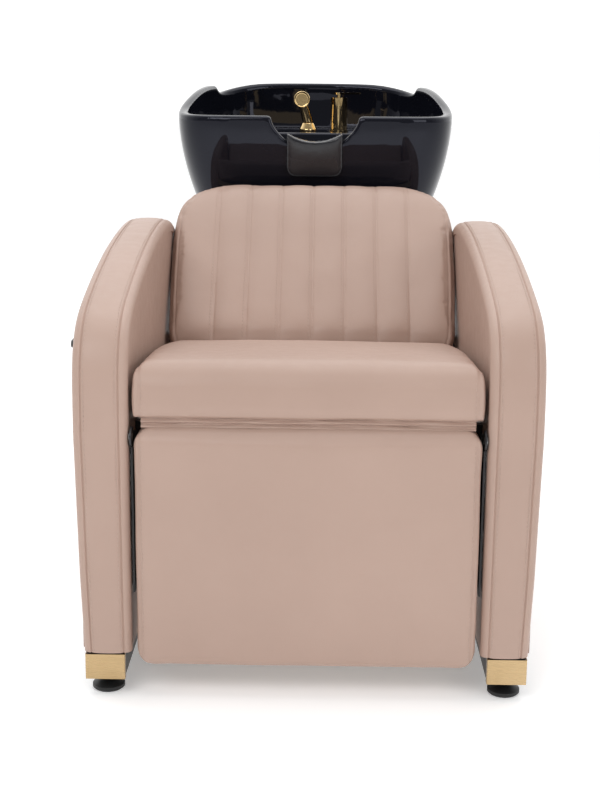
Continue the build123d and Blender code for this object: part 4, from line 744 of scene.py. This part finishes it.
def back_half_width(at):
    """Half the backrest's width at each point's height along it."""
    along = (at - np.array(BACK_FOOT)) @ np.array(back_up) / BACK_HEIGHT
    return np.interp(along, BACK_WIDTH_SHARES, BACK_HALF_WIDTHS)


def from_back_seams(at):
    """Each point's distance from the nearest of the seams between the channels."""
    return np.min(np.abs(at[:, :1] - np.array(seam_xs)[None, :]), axis=1)


def from_back_piping(at):
    """Each point's distance from the seam along the backrest's edge."""
    return back_half_width(at) - BACK_PIPING_INSET - np.abs(at[:, 0])


def back_facing_front(out):
    return out @ np.array(back_front)


def back_rear(out):
    return facing_share(-back_facing_front(out), BACK_REAR_START)


backrest = remesh(copied("backrest_cushion", "backrest_padding"), BACK_VOXEL)
relax(backrest, BACK_RELAX_ROUNDS)
puff(backrest, BACK_PUFF, back_rear)
subdivide(backrest)
wrinkle(backrest, BACK_WRINKLE, BACK_WRINKLE_SIZE, BACK_WRINKLE_SEED)
dent(backrest, from_back_seams, BACK_SEAM_DEPTH, BACK_SEAM_WIDTH, back_facing_front)
dent(backrest, from_back_piping, BACK_PIPING_DEPTH, BACK_PIPING_WIDTH, back_facing_front)
smooth_shading(backrest)
dress(backrest, LEATHER)
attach(backrest, "chair_frame")
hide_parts("backrest_cushion")
back_tree = skin_tree(backrest)
for index, seam_x in enumerate(seam_xs):
    foot = BACK_FOOT + back_front * BACK_RAY_START + Vector((seam_x - BACK_STITCH_GAP, 0, 0))
    rises = np.linspace(BACK_STITCH_FOOT, BACK_STITCH_HEAD, BACK_STITCH_RAYS)
    starts = [foot + back_up * rise for rise in rises]
    path, outward = cast(back_tree, starts, -back_front)
    stitch_row(f"backrest_stitches_{index + 1}", path, outward, "chair_frame")


# Legrest cushion
LEG_LOW, LEG_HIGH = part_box("legrest_cushion")
LEG_VOXEL = 5 * MM
LEG_RELAX_ROUNDS = 3
LEG_PUFF = 2.5 * MM
LEG_REAR_START = 0.6
LEG_WRINKLE = 1.0 * MM
LEG_WRINKLE_SIZE = 110 * MM
LEG_WRINKLE_SEED = 8.4
LEG_SEAM_INSET = 9 * MM
LEG_SEAM_DEPTH = 1.4 * MM
LEG_SEAM_WIDTH = 2.4 * MM
LEG_STITCH_INSET = 14 * MM
LEG_STITCH_END = 20 * MM
LEG_STITCH_RAYS = 60


def leg_rear(out):
    return facing_share(out[:, 1], LEG_REAR_START)


def leg_facing_front(out):
    return -out[:, 1]


legrest = remesh(copied("legrest_cushion", "legrest_padding"), LEG_VOXEL)
relax(legrest, LEG_RELAX_ROUNDS)
puff(legrest, LEG_PUFF, leg_rear)
subdivide(legrest)
wrinkle(legrest, LEG_WRINKLE, LEG_WRINKLE_SIZE, LEG_WRINKLE_SEED)
for sign in (1, -1):
    seam_x = sign * (LEG_HIGH.x - LEG_SEAM_INSET)
    dent(legrest, lambda at: at[:, 0] - seam_x, LEG_SEAM_DEPTH, LEG_SEAM_WIDTH, leg_facing_front)
smooth_shading(legrest)
dress(legrest, LEATHER)
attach(legrest, "legrest")
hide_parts("legrest_cushion")
leg_tree = skin_tree(legrest)
for side, sign in SIDES:
    stitch_x = sign * (LEG_HIGH.x - LEG_STITCH_INSET)
    rises = np.linspace(LEG_LOW.z + LEG_STITCH_END, LEG_HIGH.z - LEG_STITCH_END, LEG_STITCH_RAYS)
    starts = [(stitch_x, LEG_LOW.y - FRONT_RAY_START, z) for z in rises]
    path, outward = cast(leg_tree, starts, (0, 1, 0))
    stitch_row(f"legrest_{side}_stitches", path, outward, "legrest")


# Bowl and neck rest: glazed and moulded skins with rounded rims
BOWL_VOXEL = 2.2 * MM
BOWL_ROUNDS = 30
NECK_VOXEL = 2.0 * MM
NECK_ROUNDS = 34
NECK_BULGE = 3.5 * MM
NECK_FRONT_START = 0.5


def skinned(node, name, voxel, rounds, body, slot):
    """A rounded skin over a CAD node, which stands for it; the slot names its material too."""
    made = relax(remesh(copied(node, name), voxel), rounds)
    smooth_shading(made)
    dress(made, MATERIALS[slot])
    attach(made, body)
    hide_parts(node)
    return made


skinned("bowl", "bowl_glaze", BOWL_VOXEL, BOWL_ROUNDS, "bowl_unit", "black_glaze")
neck = skinned("neck_rest", "neck_rest_gel", NECK_VOXEL, NECK_ROUNDS, "bowl_unit", "gel")
NECK_LOW, NECK_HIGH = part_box("neck_rest")
neck_height = NECK_HIGH.z - NECK_LOW.z
neck_at = places(neck)
neck_across = np.clip(np.abs(neck_at[:, 0]) / NECK_HIGH.x, 0, 1)
neck_up = np.abs(neck_at[:, 2] * 2 - NECK_LOW.z - NECK_HIGH.z) / neck_height
neck_up = np.clip(neck_up, 0, 1)
neck_front = facing_share(-normals(neck)[:, 1], NECK_FRONT_START)
neck_at[:, 1] -= NECK_BULGE * (1 - neck_across**2) * (1 - neck_up**2) * neck_front
set_places(neck, neck_at)

# Hand spray and its holder: cast pieces with softened edges
CAST_VOXEL = 0.8 * MM
CAST_ROUNDS = 7
for node_name, body in (("spray_holder", "bowl_unit"), ("hand_spray", "spray")):
    skinned(node_name, f"{node_name}_cast", CAST_VOXEL, CAST_ROUNDS, body, slots[node_name])

# Flap: a sheet that hangs from the seat's front edge in folds and ends on the legrest
FLAP_LOW, FLAP_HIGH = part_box("legrest_flap")
FLAP_FOLDS = 2
FLAP_COLUMNS = 90
FLAP_ROWS = 60
FLAP_INSET = 1.0 * MM
FLAP_FOLD_SHARE = 0.75
FLAP_DRIFT = 0.9
FLAP_DRIFT_ACROSS = 9
FLAP_DRIFT_DOWN = 3
FLAP_DRIFT_SEED = 4.2
FLAP_DRIFT_SHIFT = 0.25
FLAP_DRIFT_DEPTH = 0.2
FLAP_RIPPLE = 1.2
FLAP_RIPPLE_ACROSS = 30
FLAP_RIPPLE_DOWN = 7
FLAP_RIPPLE_SEED = 1.7
flap_width = FLAP_HIGH.x - FLAP_LOW.x
flap_drop = FLAP_HIGH.z - FLAP_LOW.z - FLAP_INSET * 2
flap_middle_y = (FLAP_LOW.y + FLAP_HIGH.y) / 2
flap_swing = (FLAP_HIGH.y - FLAP_LOW.y) / 2 - FLAP_INSET
flap_places = []
for row in range(FLAP_ROWS + 1):
    down = row / FLAP_ROWS
    z = FLAP_HIGH.z - FLAP_INSET - flap_drop * down
    for column in range(FLAP_COLUMNS + 1):
        x = FLAP_LOW.x + flap_width * column / FLAP_COLUMNS
        at = (x * FLAP_DRIFT_ACROSS, down * FLAP_DRIFT_DOWN, FLAP_DRIFT_SEED)
        drift = noise.noise(Vector(at)) * FLAP_DRIFT
        fold = math.sin((down * FLAP_FOLDS + drift * FLAP_DRIFT_SHIFT) * math.tau)
        at = (x * FLAP_RIPPLE_ACROSS, down * FLAP_RIPPLE_DOWN, FLAP_RIPPLE_SEED)
        ripple = noise.noise(Vector(at)) * FLAP_RIPPLE * MM
        depth = flap_swing * (FLAP_FOLD_SHARE + FLAP_DRIFT_DEPTH * drift)
        flap_places.append((x, flap_middle_y + fold * depth + ripple, z))
flap_faces = []
for row in range(FLAP_ROWS):
    for column in range(FLAP_COLUMNS):
        corner = row * (FLAP_COLUMNS + 1) + column
        below = corner + FLAP_COLUMNS + 1
        flap_faces.append((corner, corner + 1, below + 1, below))
flap_mesh = bpy.data.meshes.new("legrest_flap_sheet")
flap_mesh.from_pydata(flap_places, [], flap_faces)
flap = new_object("legrest_flap_sheet", flap_mesh)
smooth_shading(flap)
dress(flap, LEATHER)
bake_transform(flap)
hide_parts("legrest_flap")

# Hoses that cross the bowl's tilt joint, between the frame and the bowl: welded, smooth-shaded copies of
# the CAD hoses
for node_name in ("supply_hoses", "waste_hose"):
    hose = copied(node_name, f"{node_name}_bending")
    weld(hose)
    smooth_shading(hose)
    dress(hose, MATERIALS[slots[node_name]])
    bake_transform(hose)
    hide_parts(node_name)


# Stage: a white surround behind the bed that darkens towards the camera, and soft lights
WHITE = (1.0, 1.0, 1.0, 1.0)
WORLD_FRONT = -0.5
WORLD_REAR = 0.5
WORLD_DARK = 0.28
WORLD_LIGHT = 1.25
FLOOR_SIZE = 40
FLOOR_COLOR = (0.95, 0.95, 0.95)
FLOOR_ROUGHNESS = 0.8
FLOOR_GLOW = 0.26


def area_light(name, place, aim, size, power):
    data = bpy.data.lights.new(name, "AREA")
    data.shape = "RECTANGLE"
    data.size, data.size_y = size
    data.energy = power
    made = bpy.data.objects.new(name, data)
    scene.collection.objects.link(made)
    made.location = place
    made.rotation_euler = (Vector(aim) - Vector(place)).to_track_quat("-Z", "Y").to_euler()


world = bpy.data.worlds.new("studio")
world.use_nodes = True
sky = world.node_tree.nodes
direction = sky.new("ShaderNodeTexCoord")
parts = sky.new("ShaderNodeSeparateXYZ")
brightness = sky.new("ShaderNodeMapRange")
brightness.inputs["From Min"].default_value = WORLD_FRONT
brightness.inputs["From Max"].default_value = WORLD_REAR
brightness.inputs["To Min"].default_value = WORLD_DARK
brightness.inputs["To Max"].default_value = WORLD_LIGHT
world.node_tree.links.new(direction.outputs["Generated"], parts.inputs["Vector"])
world.node_tree.links.new(parts.outputs["Y"], brightness.inputs["Value"])
world.node_tree.links.new(brightness.outputs["Result"], sky["Background"].inputs["Strength"])
sky["Background"].inputs["Color"].default_value = WHITE
scene.world = world
bpy.ops.mesh.primitive_plane_add(size=FLOOR_SIZE)
floor = bpy.context.object
floor.name = "floor"
floor_shader = Shader("floor", FLOOR_COLOR, FLOOR_ROUGHNESS)
floor_shader.put("Emission Color", WHITE)
floor_shader.put("Emission Strength", FLOOR_GLOW)
dress(floor, floor_shader.material)
area_light("key", place=(-1.4, -3.0, 2.8), aim=(0, -0.2, 0.5), size=(2.2, 1.6), power=44)
area_light("fill", place=(2.2, -2.9, 1.9), aim=(0, 0, 0.5), size=(1.8, 2.0), power=24)
area_light("top", place=(0, 0.2, 3.4), aim=(0, 0, 0.4), size=(3.0, 3.0), power=42)
scene.view_settings.view_transform = "Standard"
